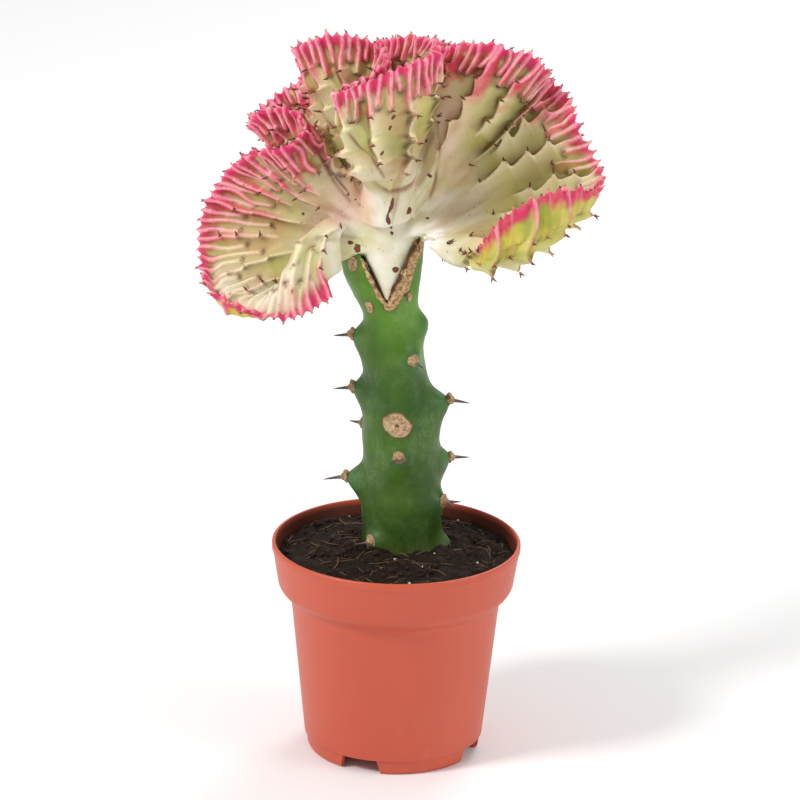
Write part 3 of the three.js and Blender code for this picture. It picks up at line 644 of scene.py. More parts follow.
def make_pot():
    band = POT_HEIGHT - BAND_HEIGHT
    shoulder = band - SHOULDER_DROP
    w = WALL
    corners = [
        (FOOT_RADIUS - FOOT_ROUNDING - 1.5, 0, 0.3),
        (FOOT_RADIUS - FOOT_ROUNDING, 0, 0.8),
        (FOOT_RADIUS - 0.5, FOOT_ROUNDING, 0.8),
        (FOOT_RADIUS, FOOT_HEIGHT - 0.6, 0.25),
        (BODY_BOTTOM_RADIUS, FOOT_HEIGHT, 0.5),
        (BODY_TOP_RADIUS, shoulder, 2.0),
        (BAND_BOTTOM_RADIUS - 1.4, band - 1, 1.4),
        (BAND_BOTTOM_RADIUS, band + 1.4, 1.6),
        (RIM_RADIUS - 0.6, POT_HEIGHT - LIP_HEIGHT - 1, 0.5),
        (RIM_RADIUS, POT_HEIGHT - LIP_HEIGHT, 0.4),
        (RIM_RADIUS, POT_HEIGHT - 0.7, 0.5),
        (RIM_RADIUS - 0.6, POT_HEIGHT, 0.4),
        (RIM_RADIUS - w, POT_HEIGHT, 0.5),
        (RIM_RADIUS - w - 0.5, POT_HEIGHT - LIP_HEIGHT, 0.5),
        (BAND_BOTTOM_RADIUS - w, band, 0.8),
        (BODY_TOP_RADIUS - w, shoulder - 1, 1.0),
        (BODY_BOTTOM_RADIUS - w, FOOT_HEIGHT + FLOOR, 1.5),
        (6, FOOT_HEIGHT + FLOOR, 0),
        (6, FOOT_HEIGHT, 0),
        (FOOT_RADIUS - w - 0.6, FOOT_HEIGHT, 0.6),
    ]
    profile = rounded([c[:2] for c in corners], [c[2] for c in corners])
    inner = next(k for k, p in enumerate(profile) if abs(p[0] - 6) < 1e-6)
    profile = np.roll(profile, -(inner + 1), axis=0)  # starts at the floor's underside, ends on its top
    profile[0, 0] = profile[-1, 0] = 0.001
    segments = 256
    turn = np.arange(segments) / segments * 360
    rings = [bearing(turn, r, z) for r, z in profile]
    points = np.concatenate(rings)
    faces = grid_faces(len(rings), segments, closed=True)
    thing = make_mesh("pot_body", points, faces)
    bm = bmesh.new()
    bm.from_mesh(thing.data)
    bmesh.ops.remove_doubles(bm, verts=bm.verts, dist=2e-5)
    bmesh.ops.recalc_face_normals(bm, faces=bm.faces)
    bm.to_mesh(thing.data)
    bm.free()
    cutters = []
    for k in range(NOTCHES):
        degrees = NOTCH_FIRST + k * 360 / NOTCHES
        low, high = BODY_BOTTOM_RADIUS - 8, BODY_BOTTOM_RADIUS + 6
        ring = []
        for z, half in ((-1, NOTCH_HALF + 3), (FOOT_HEIGHT, NOTCH_HALF)):
            for side, radius in ((-1, low), (-1, high), (1, high), (1, low)):
                ring.append(bearing(degrees + side * half, radius, z))
        box = np.array([[0, 1, 2, 3], [7, 6, 5, 4], [0, 4, 5, 1], [1, 5, 6, 2], [2, 6, 7, 3], [3, 7, 4, 0]])
        cutters.append(make_mesh(f"notch_{k}", np.array(ring), box, smooth=False))
        around = np.arange(40) * 9
        hole = bearing(degrees, DRAIN_RING) + np.concatenate(
            [bearing(around, DRAIN_RADIUS, FOOT_HEIGHT - 6), bearing(around, DRAIN_RADIUS, FOOT_HEIGHT + 8)]
        )
        caps = [np.arange(40)[None, ::-1], np.arange(40, 80)[None, :]]
        cutters.append(make_mesh(f"drain_{k}", hole, [grid_faces(2, 40, closed=True), *caps], smooth=False))
    cut(thing, cutters)
    shade_by_angle(thing, 38)
    p = points_of(thing)
    # the inside of the wall above the band, up to just under the lip, is marked to be painted darker
    wall = lerp(BAND_BOTTOM_RADIUS, RIM_RADIUS, (p[:, 2] - band) / BAND_HEIGHT) - WALL
    inside = (np.hypot(p[:, 0], p[:, 1]) < wall + 0.6) & (p[:, 2] > band)
    add_attribute(thing, "inner_wall_dark", inside & (p[:, 2] < POT_HEIGHT - 1))
    piece(thing, "pot_plastic", plastic_look(), "pot")


make_pot()


# ================================================================ stem
STEM = np.array([
    [52, 3, 9, 7, 7],
    [60, 3, 9, 12, 12],
    [78, 3, 9, 15.5, 15.5],
    [97, 3, 9, 19.6, 19],
    [104, 2.7, 9, 19.3, 18.6],
    [128, 1.8, 8.6, 18.8, 18],
    [152, 1.7, 8, 18.4, 17.6],
    [168, 1.2, 7.6, 18.4, 17.4],
    [178, -0.2, 7.2, 17, 16.8],
    [188, -1.9, 6.8, 15.4, 16],
    [202, -3.8, 6.4, 14.8, 15.4],
    [218, -4.4, 5.8, 13.4, 15],
    [230, -7.3, 5.2, 16, 14.8],
    [242, -8.6, 4.8, 19, 14.8],
    [258, -9.2, 4.6, 20.6, 14.2],
])  # fmt: skip
STEM_TILT = 0.28
# [z, bearing from the front towards +X, bulge, spines]
CUSHIONS = [
    (107, -42, 3.2, 2), (101, 88, 4.4, 0), (126, 66, 3.8, 2), (135, -88, 8, 1), (144, 102, 5.6, 1),
    (152, -3, 3.2, 2), (158, -125, 4, 1), (175, 90, 6.4, 1), (181, -88, 5, 1), (200, 34, 3.8, 1),
    (208, -88, 4.6, 1), (215, 86, 4.4, 0), (112, 172, 3.8, 2), (131, -156, 3.8, 2), (150, 160, 4, 2),
    (170, 148, 4, 2), (190, -165, 3.8, 2), (208, 155, 3.6, 1),
]  # fmt: skip
CUSHION_SPREAD = 4.6
THORN_RADIUS = 1.0
THORN_LENGTH = 8
THORN_SPLAY = 34
CLEFT_X, CLEFT_BOTTOM, CLEFT_TOP = -6, 229.5, 263
CLEFT_LEFT, CLEFT_RIGHT, CLEFT_HALF = -22.6, 7.4, 2.2
GAP = 0.3


def stem_at(z):
    """Axis and half widths of the stem at heights z: x, y, width, depth."""
    z = np.asarray(z, float)
    rows = STEM[:, 0]
    k = np.clip(np.searchsorted(rows, z, side="left") - 1, 0, len(STEM) - 2)
    before, after = np.maximum(k - 1, 0), np.minimum(k + 2, len(STEM) - 1)
    a, b = STEM[k], STEM[k + 1]
    span = b[..., 0] - a[..., 0]
    t = np.clip((z - a[..., 0]) / span, 0, 1)[..., None]
    ma = (b[..., 1:] - STEM[before][..., 1:]) / np.maximum(b[..., 0] - STEM[before][..., 0], 1)[..., None] * span[..., None]
    mb = (STEM[after][..., 1:] - a[..., 1:]) / np.maximum(STEM[after][..., 0] - a[..., 0], 1)[..., None] * span[..., None]
    return (
        (2 * t**3 - 3 * t**2 + 1) * a[..., 1:]
        + (t**3 - 2 * t**2 + t) * ma
        + (-2 * t**3 + 3 * t**2) * b[..., 1:]
        + (t**3 - t**2) * mb
    )


def stem_points(z, degrees, grow=0.0):
    """Points of the stem's skin, and how much of a cushion is under each."""
    z, degrees = np.broadcast_arrays(np.asarray(z, float), np.asarray(degrees, float))
    x, y, width, depth = np.moveaxis(stem_at(z), -1, 0)
    bulge = np.zeros(z.shape)
    for cz, cdeg, height, _ in CUSHIONS:
        apart = np.abs((degrees - cdeg + 180) % 360 - 180)
        up = z - cz
        tall = np.where(up > 0, 0.75, 1.35)
        across = np.radians(apart) * width
        bulge += height * np.exp(-(across**2 + (up / tall) ** 2) / (2 * CUSHION_SPREAD**2))
    a = np.radians(degrees)
    px = x + np.sin(a) * (width + bulge + grow)
    py = y - np.cos(a) * (depth + bulge + grow)
    tilt = STEM_TILT * smoothstep(z, CLEFT_BOTTOM - 6, CLEFT_TOP - 8)
    return np.stack([px, py, z + tilt * (px - x)], -1), bulge


def closed_tube(rings):
    """Quads and end fans of rings, (rows, columns, 3)."""
    rows, columns = rings.shape[:2]
    points = np.concatenate([rings.reshape(-1, 3), rings[0].mean(0)[None], rings[-1].mean(0)[None]])
    k = np.arange(columns)
    n = (k + 1) % columns
    low, high = rows * columns, rows * columns + 1
    caps = np.concatenate(
        [
            np.stack([n, k, np.full(columns, low)], -1),
            np.stack([(rows - 1) * columns + k, (rows - 1) * columns + n, np.full(columns, high)], -1),
        ]
    )
    return points, [grid_faces(rows, columns, closed=True), caps]


def join_meshes(parts):
    """One list of points and faces from several."""
    points, quads, triangles = [], [], []
    start = 0
    for pts, faces in parts:
        points.append(pts)
        for f in faces if isinstance(faces, list) else [faces]:
            (quads if f.shape[1] == 4 else triangles).append(f + start)
        start += len(pts)
    faces = [np.concatenate(g) for g in (quads, triangles) if g]
    return np.concatenate(points), faces


def frame_of(direction):
    d = unit(np.asarray(direction, float))
    other = np.array([0, 0, 1.0]) if abs(d[2]) < 0.9 else np.array([1.0, 0, 0])
    side = unit(np.cross(other, d))
    return side, np.cross(d, side), d


def spike(root, direction, radius, length, sides=8, rows=6, bend=0.0, bend_to=(0, 0, 1)):
    """A tapering spike: its points, faces and how far along it each point is."""
    side, up, d = frame_of(direction)
    s = np.linspace(0, 1, rows)
    centre = np.asarray(root) + np.outer(s * length, d) + np.outer(bend * s**2 * length, np.asarray(bend_to, float))
    r = radius * (1 - s) ** 0.8 + 0.05
    a = np.arange(sides) / sides * 2 * np.pi
    ring = centre[:, None] + r[:, None, None] * (np.cos(a)[:, None] * side + np.sin(a)[:, None] * up)
    points, faces = closed_tube(ring)
    along = np.concatenate([np.repeat(s, sides), [0, 1]])
    return points, faces, along


def lump(at, normal, width, height, seed, squash=0.5, detail=1):
    """An irregular blob that sits on a surface."""
    bm = bmesh.new()
    bmesh.ops.create_icosphere(bm, subdivisions=detail + 1, radius=1)
    points = np.array([v.co[:] for v in bm.verts])
    faces = np.array([[v.index for v in f.verts] for f in bm.faces])
    bm.free()
    points *= 1 + 0.22 * noise(points * 10 + seed * 13.7, 9, seed)[:, None]
    if detail > 1:
        points *= 1 + 0.12 * fractal(points * 10 + seed * 7.1, 4, seed + 3, 2)[:, None]
    side, up, d = frame_of(normal)
    shaped = points[:, :1] * side * width + points[:, 1:2] * up * height + points[:, 2:] * d * squash * min(width, height)
    return np.asarray(at) + shaped, faces


def cleft_cutter():
    deep, rise = 40, 20
    left = (CLEFT_LEFT - CLEFT_X) / (CLEFT_TOP - CLEFT_BOTTOM)
    right = (CLEFT_RIGHT - CLEFT_X) / (CLEFT_TOP - CLEFT_BOTTOM)
    top = CLEFT_TOP + rise
    bottom, half = CLEFT_BOTTOM - GAP, CLEFT_HALF + GAP
    run = top - CLEFT_BOTTOM
    ring = [
        (CLEFT_X - half, bottom), (CLEFT_X + half, bottom),
        (CLEFT_X + right * run + half, top), (CLEFT_X + left * run - half, top),
    ]  # fmt: skip
    points = np.array([(x, y, z) for y in (-deep, deep) for x, z in ring])
    box = np.array([[3, 2, 1, 0], [4, 5, 6, 7], [0, 1, 5, 4], [1, 2, 6, 5], [2, 3, 7, 6], [3, 0, 4, 7]])
    return make_mesh("cleft", points, box, smooth=False)


def skin_normal(z, degrees):
    h = 0.4
    p = [stem_points(z + dz, degrees + dd)[0] for dz, dd in ((h, 0), (-h, 0), (0, 1), (0, -1))]
    n = np.cross(p[2] - p[3], p[0] - p[1])
    out = bearing(degrees, 1.0)
    return unit(n if np.dot(n, out) > 0 else -n)


def make_rootstock():
    z = np.linspace(60, STEM[-1, 0], 330)[:, None]
    degrees = (np.arange(200) * 1.8)[None]
    skin, bulge = stem_points(z, degrees)
    flat = skin.reshape(-1, 3)
    out = np.broadcast_to(bearing(degrees[0], 1.0), skin.shape).reshape(-1, 3)
    uneven = 0.35 * noise(flat, 9, 3) + 0.12 * noise(flat, 2.5, 4) - 0.15
    rings = (flat + out * uneven[:, None]).reshape(skin.shape)
    points, faces = closed_tube(rings)
    knob = np.concatenate([(bulge / 5).ravel(), [0, 0]])
    thing = turned_outwards(make_mesh("stem", points, faces, {"knob": knob}))
    cut(thing, [cleft_cutter()])
    shade_by_angle(thing, 50)
    piece(thing, "stem_green", stem_look(), "rootstock")


def make_cushions():
    wood, thorns, along = [], [], []
    for n, (z, degrees, height, spines) in enumerate(CUSHIONS):
        skin = stem_points(z, degrees)[0]
        if not spines:
            continue
        out = bearing(degrees, 1.0)
        out[2] = -0.12
        out = unit(out)
        wood.append(lump(skin - out * 0.3, out, 2.9, 3.3, n, 0.62, 2))
        wood.append(lump(skin + out * 1.0, out, 1.9, 1.8, n + 40, 0.8, 2))
        side = unit(np.cross((0, 0, 1), out))
        for k in range(spines):
            turn = 0 if spines == 1 else math.radians(THORN_SPLAY) * (1 if k else -1)
            aim_at = unit(out * math.cos(turn) + side * math.sin(turn))
            length = THORN_LENGTH * (0.75 + height / 14) - 0.3
            pts, faces, far = spike(skin + out * 0.9, aim_at, THORN_RADIUS, length, 10, 9, 0.04 * (-1) ** n)
            thorns.append((pts, faces))
            along.append(far)
    pts, faces = join_meshes(wood)
    piece(make_mesh("thorn_cushions", pts, faces), "cork", wood_look("cushion_wood", (128, 92, 60), (206, 176, 136)), "rootstock")
    pts, faces = join_meshes(thorns)
    piece(make_mesh("thorns", pts, faces, {"along": np.concatenate(along)}), "cork", thorn_look(), "rootstock")


# ================================================================ rays from the photograph's camera
def ray(px, py):
    """Direction from the camera through a pixel of the 800 x 800 photograph."""
    half = FRAME_PX / 2
    d = LOOK * FOCAL_PX + RIGHT * (px - half) + UP * (half - py)
    return d.normalized()


def tree_of(thing):
    mesh = thing.data
    mesh.calc_loop_triangles()
    tris = np.empty(len(mesh.loop_triangles) * 3, np.int32)
    mesh.loop_triangles.foreach_get("vertices", tris)
    co = np.empty(len(mesh.vertices) * 3)
    mesh.vertices.foreach_get("co", co)
    return BVHTree.FromPolygons(co.reshape(-1, 3).tolist(), tris.reshape(-1, 3).tolist())


def seen_at(tree, px, py):
    """Where the ray through a pixel meets a mesh, in mm, with its normal."""
    at, normal, _, _ = tree.ray_cast(CAMERA_AT, ray(px, py))
    if at is None:
        return None, None
    normal = np.array(normal)
    if np.dot(normal, np.array(LOOK)) > 0:
        normal = -normal
    return np.array(at) / MM, normal


# Tan leaf scars on the stem's front: [pixel x, pixel y, half width, half height in mm].
LEAF_SCARS = [
    (397, 426, 7.8, 5.9), (369.5, 307, 2.4, 3.4), (353, 264, 2.9, 4.0), (345.5, 254, 1.5, 1.4), (409, 297, 1.5, 2.6),
]  # fmt: skip
LEAF_SCARS_BEHIND = [(186, 176, 2.6, 3.2), (232, 186, 2.4, 3.0), (128, 196, 2.6, 3.4)]  # z, bearing, half sizes
# Rings of a scar from outside in: share of its half sizes, height over the skin in mm.
SCAR_RINGS = [(1.08, -0.6), (1.0, 0.2), (0.93, 0.5), (0.84, 0.6), (0.66, 0.4), (0.45, 0.45), (0.28, 0.4), (0.14, 0.1)]


def scar_disc(tree, at, normal, half_width, half_height, seed):
    """A thin ragged disc laid on a surface, and how far out from its middle each point is."""
    side, up, _ = frame_of(normal)
    a = np.arange(48) / 48 * 2 * np.pi
    around = np.column_stack([np.cos(a) * 9, np.sin(a) * 9, np.full(48, seed * 7.3)])
    edge = 1 + 0.12 * fractal(around, 6, 71, 2)
    rings = []
    for share, high in SCAR_RINGS:
        wide, tall = half_width * share * edge * np.cos(a), half_height * share * edge * np.sin(a)
        ring = []
        for p in at + side * wide[:, None] + up * tall[:, None]:
            on, facing, _, _ = tree.find_nearest(Vector(p * MM))
            facing = np.array(facing) * (1 if np.dot(facing, normal) > 0 else -1)
            ring.append(np.array(on) / MM + facing * high)
        rings.append(ring)
    rings = np.array(rings)
    rings[2:-1] += 0.2 * fractal(rings[2:-1].reshape(-1, 3), 1.5, 72, 2).reshape(-1, 48, 1) * normal
    points, faces = closed_tube(rings)
    far = np.concatenate([np.repeat([share for share, _ in SCAR_RINGS], 48), [1, 0]])
    return points, faces, far


def make_scars():
    tree = tree_of(bpy.data.objects["stem"])
    spots = [(*seen_at(tree, px, py), w, h) for px, py, w, h in LEAF_SCARS]
    spots += [(stem_points(z, d)[0], skin_normal(z, d), w, h) for z, d, w, h in LEAF_SCARS_BEHIND]
    made = [scar_disc(tree, *spot, n) for n, spot in enumerate(spots) if spot[0] is not None]
    pts, faces = join_meshes([(pts, faces) for pts, faces, _ in made])
    thing = turned_outwards(make_mesh("leaf_scars", pts, faces, {"far": np.concatenate([far for _, _, far in made])}))
    piece(thing, "cork", scar_look(), "rootstock")


make_rootstock()
make_cushions()
make_scars()


# ================================================================ soil
SOIL_EDGE = 98
SOIL_MOUND = 5
SOIL_CLOD = 1.35


def soil_height(x, y):
    r = np.hypot(x, y)
    sx, sy, width, _ = stem_at(SOIL_EDGE + SOIL_MOUND)
    near = np.hypot(x - sx, y - sy)
    mound = SOIL_MOUND * np.exp(-((np.maximum(0, near - width) / 24) ** 2))
    clods = np.sin(x * 0.33 + 1.3) * np.cos(y * 0.31) + 0.5 * np.sin(x * 0.21 - y * 0.27)
    return SOIL_EDGE + mound + SOIL_CLOD * clods * np.where(r < 54, 1, 0.4)


def soil_surface(x, y):
    p = np.stack([x, y, np.zeros_like(x)], -1)
    rough = 0.9 * noise(p, 5.5, 11) + 0.55 * noise(p, 2.4, 12) + 0.3 * noise(p, 1.2, 13)
    return soil_height(x, y) + rough - 0.4


def make_soil():
    band = POT_HEIGHT - BAND_HEIGHT
    shoulder = band - SHOULDER_DROP
    top = lerp(BAND_BOTTOM_RADIUS, RIM_RADIUS, (SOIL_EDGE - band) / BAND_HEIGHT) - WALL - GAP - 0.3
    turn = np.arange(420) / 420 * 360
    rings = []
    for r, z in (
        (BODY_BOTTOM_RADIUS - WALL - 0.5, FOOT_HEIGHT + FLOOR + GAP),
        (BODY_TOP_RADIUS - WALL - 0.5, shoulder - 1.4),
        (BAND_BOTTOM_RADIUS - WALL - 0.5, band + 0.3),
    ):
        rings.append(bearing(turn, r, z))
    for r in np.linspace(top, 1.0, 110):
        p = bearing(turn, r, 0.0)
        p[:, 2] = soil_surface(p[:, 0], p[:, 1])
        rings.append(p)
    points, faces = closed_tube(np.array(rings))
    piece(make_mesh("soil_bed", points, faces), "soil", soil_look("potting_soil", (11, 7, 5), (46, 30, 20)), "soil")

    def scatter(count, low, high):
        r = np.sqrt(rng.uniform(0, 1, count)) * (top - 1.5)
        a = rng.uniform(0, 360, count)
        p = bearing(a, r, 0.0)
        sx, sy, width, _ = stem_at(SOIL_EDGE + SOIL_MOUND)
        p = p[np.hypot(p[:, 0] - sx, p[:, 1] - sy) > width + 0.5]
        p[:, 2] = soil_surface(p[:, 0], p[:, 1])
        return p, rng.uniform(low, high, len(p))

    clods = []
    at, size = scatter(900, 0, 1)
    for n, (p, s) in enumerate(zip(at, size)):
        w = 0.45 + 1.5 * s**3
        clods.append(lump(p + (0, 0, 0.2 * w), rng.normal(0, 0.4, 3) + (0, 0, 1), w, w * rng.uniform(0.6, 1), n + 200, 0.75, 0 if s < 0.7 else 1))
    pts, faces = join_meshes(clods)
    piece(make_mesh("soil_clods", pts, faces), "soil", soil_look("soil_clods", (15, 10, 7), (66, 44, 30)), "soil")
    threads = []
    at, size = scatter(150, 3.5, 13)
    for p, length in zip(at, size):
        head = rng.uniform(0, 2 * math.pi)
        curl = rng.uniform(-0.09, 0.09)
        steps = 7
        ang = head + curl * length * np.linspace(-0.5, 0.5, steps)
        step = length / (steps - 1)
        line = p[:2] + np.cumsum(np.stack([np.cos(ang), np.sin(ang)], -1) * step, 0) - np.stack([np.cos(ang), np.sin(ang)], -1).sum(0) * step / 2
        keep = np.hypot(line[:, 0], line[:, 1]).max() < top - 1
        if not keep:
            continue
        z = soil_surface(line[:, 0], line[:, 1])
        z = np.convolve(np.pad(z, 2, mode="edge"), np.ones(5) / 5, "valid") + rng.uniform(0.1, 0.7)
        centre = np.column_stack([line, z])
        tangent = unit(np.gradient(centre, axis=0))
        side = unit(np.cross(tangent, (0, 0, 1)))
        up = np.cross(side, tangent)
        r = rng.uniform(0.14, 0.34) * np.sin(np.linspace(0.25, math.pi - 0.25, steps)) ** 0.5
        a = np.arange(5) / 5 * 2 * np.pi
        ring = centre[:, None] + r[:, None, None] * (np.cos(a)[None, :, None] * side[:, None] + np.sin(a)[None, :, None] * up[:, None])
        threads.append(closed_tube(ring))
    pts, faces = join_meshes(threads)
    piece(make_mesh("soil_fibres", pts, faces), "soil", fibre_look(), "soil")
    grit = []
    at, size = scatter(16, 0.5, 1.1)
    for n, (p, s) in enumerate(zip(at, size)):
        grit.append(lump(p + (0, 0, 0.4 * s), rng.normal(0, 0.5, 3) + (0, 0, 1), s, s * 0.8, n + 700, 0.8, 1))
    pts, faces = join_meshes(grit)
    piece(make_mesh("soil_grit", pts, faces), "soil", perlite_look(), "soil")


make_soil()


# ================================================================ crest
# The growing edge from its left end to its right end: [x, y, z, cup].
MARGIN = np.array([
    [-32, -20, 236, -26], [-44, -30, 230, -28], [-57, -36, 229, -20], [-70, -36, 232, 4],
    [-83, -30, 236, 18], [-92, -18, 240, 13], [-95, -6, 248, 6], [-96, 2, 259, 0],
    [-94, 6, 269, 0], [-89, 6, 279, 0], [-82, 2, 290, 0], [-74, -6, 299, 0],
    [-65, -16, 305, 2], [-55, -24, 309, 4],
    [-48, -20, 313, 0], [-46, -8, 315, 0], [-52, 4, 319, 0], [-62, 11, 318, 0],
    [-70, 19, 311, 0], [-73, 31, 303, 0], [-73, 43, 303, 0], [-67, 51, 307, 0],
    [-57, 53, 315, 0], [-48, 47, 322, 0], [-44, 35, 329, 0], [-47, 21, 338, 0],
    [-51, 8, 347, 0], [-46, -2, 354, 0], [-37, -6, 358, 0], [-26, -5, 358, 0],
    [-16, -3, 355, 0], [-8, -8, 350, 0], [-10, -16, 346, 4], [-18, -21, 343, 8],
    [-27, -27, 340, 12], [-31, -36, 338, 16], [-27, -45, 343, 20], [-18, -51, 349, 22],
    [-9, -53, 353, 22], [0, -51, 357, 20], [9, -45, 359, 16], [15, -35, 360, 8],
    [17, -21, 359, 0], [12, -8, 358, 0], [5, 3, 356, 0], [-4, 11, 353, 0],
    [-11, 21, 348, 0], [-9, 33, 345, 0], [0, 40, 344, 0], [11, 39, 344, 0],
    [19, 30, 345, 0], [22, 16, 347, 0],
    [25, 2, 352, 0], [32, -6, 356, 0], [41, -8, 356, 0], [50, -8, 353, 0],
    [59, -6, 350, 0], [66, -2, 343, 0], [68, 8, 334, 0], [73, 12, 330, 0],
    [78, 6, 326, 0], [80, -2, 320, 0], [83, -5, 313, 0], [87, -6, 306, 2],
    [91, -9, 299, 6], [94, -17, 294, 12],
    [90, -28, 292, 22], [80, -38, 295, 32], [69, -46, 296, 41], [59, -50, 293, 42],
    [50, -50, 287, 40], [42, -46, 277, 34], [38, -38, 267, 20], [35, -28, 258, 0],
], float)  # fmt: skip
CORE = np.array([-6.0, 4.0, 258.0])
CORE_SHARE = 0.16
SMOOTHING = 26
RIBS = 94
FIRST_ROW = 0.28
BASE_HALF, EDGE_HALF = 5.2, 0.9
THINNEST = 0.55
LEAST_HALF = 0.65
TIP_HEIGHT = (8.0, 6.8, 4.4, 3.2)  # mm, of the spined tips of ribs of each rank
CREST_LINE = (2.9, 2.4, 1.9, 1.3)  # mm, of the crest line between two tips
# By index in MARGIN: how much of their height the tips keep, and how far the crest lines lean to one side.
TIP_SHARE = ((0, 0.4), (11, 0.35), (15, 0.8), (20, 1.15), (50, 1.2), (53, 1), (65, 1), (68, 0.7), (73, 0.6))
CREST_LEAN = ((0, 0.15), (12, 0.2), (15, 0), (50, 0), (53, -0.75), (64, -0.75), (67, 0), (73, 0))
LINE_WIDTH = ((0, 1.15), (11, 1.1), (15, 0.6), (73, 0.55))  # mm, of the pale crest lines
SCALLOP = 2.3  # mm that a crest line swings aside from one tip to the next, where it leans most
LIP = 4.2  # mm that the blade hangs below its turned-up lower edges
LIP_SPANS = ((0.5, 1.5, 5.0, 6.5), (66.5, 67.5, 71.5, 72.5))  # where, by index in MARGIN
ARCH_INNER = np.array([-0.07, 0.28, 1.1])
ARCH_OUTER = np.array([-0.6, 0.25, 0.9])
RIM_BACK, RIM_TOOTH, RIM_SWING = -1.6, 3.0, 0.9  # mm
FAN_LAST, FAN_END, FAN_SPAN, FAN_BASE, FAN_EDGE = 0.56, (0.35, 0.58), (10, 110), 12, 1
LONG_START = (0.3, 0.46)
# Where the short ribs start between the long ones, by index in MARGIN; those between them start later still.
SHORT_START = ((0, 0.7), (4, 0.62), (8, 0.58), (12, 0.66), (15, 0.8), (20, 0.8), (31, 0.82), (34, 0.87), (42, 0.87), (46, 0.84),
               (53, 0.8), (60, 0.82), (73, 0.82))
LAST_START = ((0, 0.16), (12, 0.13), (15, 0.055), (73, 0.055))  # those between start this much later, by index
SHORT_WIDTH = ((0, 1.3), (11, 1.3), (15, 1), (73, 1))  # by index in MARGIN, as a share of the usual
LOW_ENDS = (6, 65)  # before and after these in MARGIN the blade's outside faces down, with low short ribs
LOW_SHARE = 0.35
# How far the pink runs in from the edge, in mm, and how strong it is: [index in MARGIN, mm, strength].
FLUSH = [
    (0, 4, 0.9), (4, 4, 0.9), (6, 6, 0.9), (8, 14, 0.85), (10, 17, 0.9), (13, 17, 0.95), (17, 22, 1), (20, 20, 1),
    (24, 20, 1), (27, 19, 1), (31, 15, 1), (34, 9, 1), (38, 11, 1), (41, 13, 1), (44, 15, 1),
    (51, 25, 1), (53, 24, 1), (57, 20, 0.95), (61, 14, 0.9), (65, 7, 0.85), (67, 5, 0.9), (73, 6, 0.9),
]  # fmt: skip


def catmull(rows, t):
    rows = rows if rows.ndim == 2 else rows[:, None]
    ext = np.vstack([2 * rows[0] - rows[1], rows, 2 * rows[-1] - rows[-2]])
    p = np.clip(t, 0, 1) * (len(rows) - 1)
    i = np.minimum(np.floor(p).astype(int), len(rows) - 2)
    w = (p - i)[:, None]
    a, b, c, d = ext[i], ext[i + 1], ext[i + 2], ext[i + 3]
    t0, t1 = 0.5 * (c - a), 0.5 * (d - b)
    return b + t0 * w + (-3 * b + 3 * c - 2 * t0 - t1) * w**2 + (2 * b - 2 * c + t0 + t1) * w**3


_ts = np.linspace(0, 1, 1501)
_run = np.concatenate([[0], np.cumsum(np.linalg.norm(np.diff(catmull(MARGIN[:, :3], _ts), axis=0), axis=1))])
EDGE_LENGTH = _run[-1]


def edge_t(u):
    return np.interp(np.clip(u, 0, 1) * EDGE_LENGTH, _run, _ts)


SAMPLES = 300
_samples = catmull(MARGIN[:, :3], edge_t(np.arange(SAMPLES + 1) / SAMPLES))
_apart = (np.arange(SAMPLES + 1)[:, None] - np.arange(SAMPLES + 1)) * EDGE_LENGTH / SAMPLES
_weights = np.exp(-0.5 * (_apart / SMOOTHING) ** 2)
SOFT_EDGE = _weights @ _samples / _weights.sum(1, keepdims=True)


def blade(u, t, even=False):
    """Points of the blade's middle surface, for u along the edge and t from core to edge.

    t is one row for all u, or a row of its own for each.
    """
    u = np.clip(u, 0, 1)
    at = u * SAMPLES
    soft = np.stack([np.interp(at, np.arange(SAMPLES + 1), SOFT_EDGE[:, c]) for c in range(3)], -1)
    edge = soft if even else catmull(MARGIN[:, :3], edge_t(u))
    cup = catmull(MARGIN[:, 3], edge_t(u)) * (0.6 if even else 1)
    root = lerp(CORE, soft, CORE_SHARE)
    half = lerp(root, soft, 0.5)
    inner = lerp(root, half, 2 / 3)
    outer = lerp(edge, half, 2 / 3)
    down = np.maximum(cup, 0)
    up = np.maximum(-cup, 0)
    inner = inner + down * [0, 0, 0.1] + up * ARCH_INNER
    outer = outer + down / 100 * (edge - root) * [1, 1, 0] - down * [0, 0, 1.0] + up * ARCH_OUTER
    t = np.atleast_2d(np.asarray(t, float))[..., None]
    s = 1 - t
    root, inner, outer, edge = (v[:, None] for v in (root, inner, outer, edge))
    return s**3 * root + 3 * s * s * t * inner + 3 * s * t * t * outer + t**3 * edge


def blade_frames(u, t, even=False):
    du = 0.5 / SAMPLES
    along = blade(u + du, t, even) - blade(u - du, t, even)
    out = unit(blade(u, np.asarray(t) + 0.01, even) - blade(u, np.asarray(t) - 0.01, even))
    return out, unit(np.cross(along, out))


def blur(values, sigma, axis):
    reach = int(3 * sigma) + 1
    k = np.arange(-reach, reach + 1)
    w = np.exp(-0.5 * (k / sigma) ** 2)
    moved = np.moveaxis(values, axis, 0)
    padded = np.concatenate([np.repeat(moved[:1], reach, 0), moved, np.repeat(moved[-1:], reach, 0)])
    total = sum(w[j] * padded[j : j + len(moved)] for j in range(len(k)))
    return np.moveaxis(total / w.sum(), 0, axis)


def half_thickness(u, t):
    full = lerp(BASE_HALF, EDGE_HALF, smoothstep(t, FIRST_ROW, 1) ** 1.2)
    ends = lerp(0.45, 1, smoothstep(np.minimum(u, 1 - u) * EDGE_LENGTH, 0, 30))
    return lerp(EDGE_HALF, full, ends)


def rank_of(rib):
    return 0 if rib % 4 == 0 else 1 if rib % 2 == 0 else 2


ROW_T = lerp(FIRST_ROW, 1, 1 - (1 - np.arange(7) / 6) ** 1.35)
COLUMNS_PER_RIB = 12
COLUMNS = RIBS * COLUMNS_PER_RIB
ROWS = 100


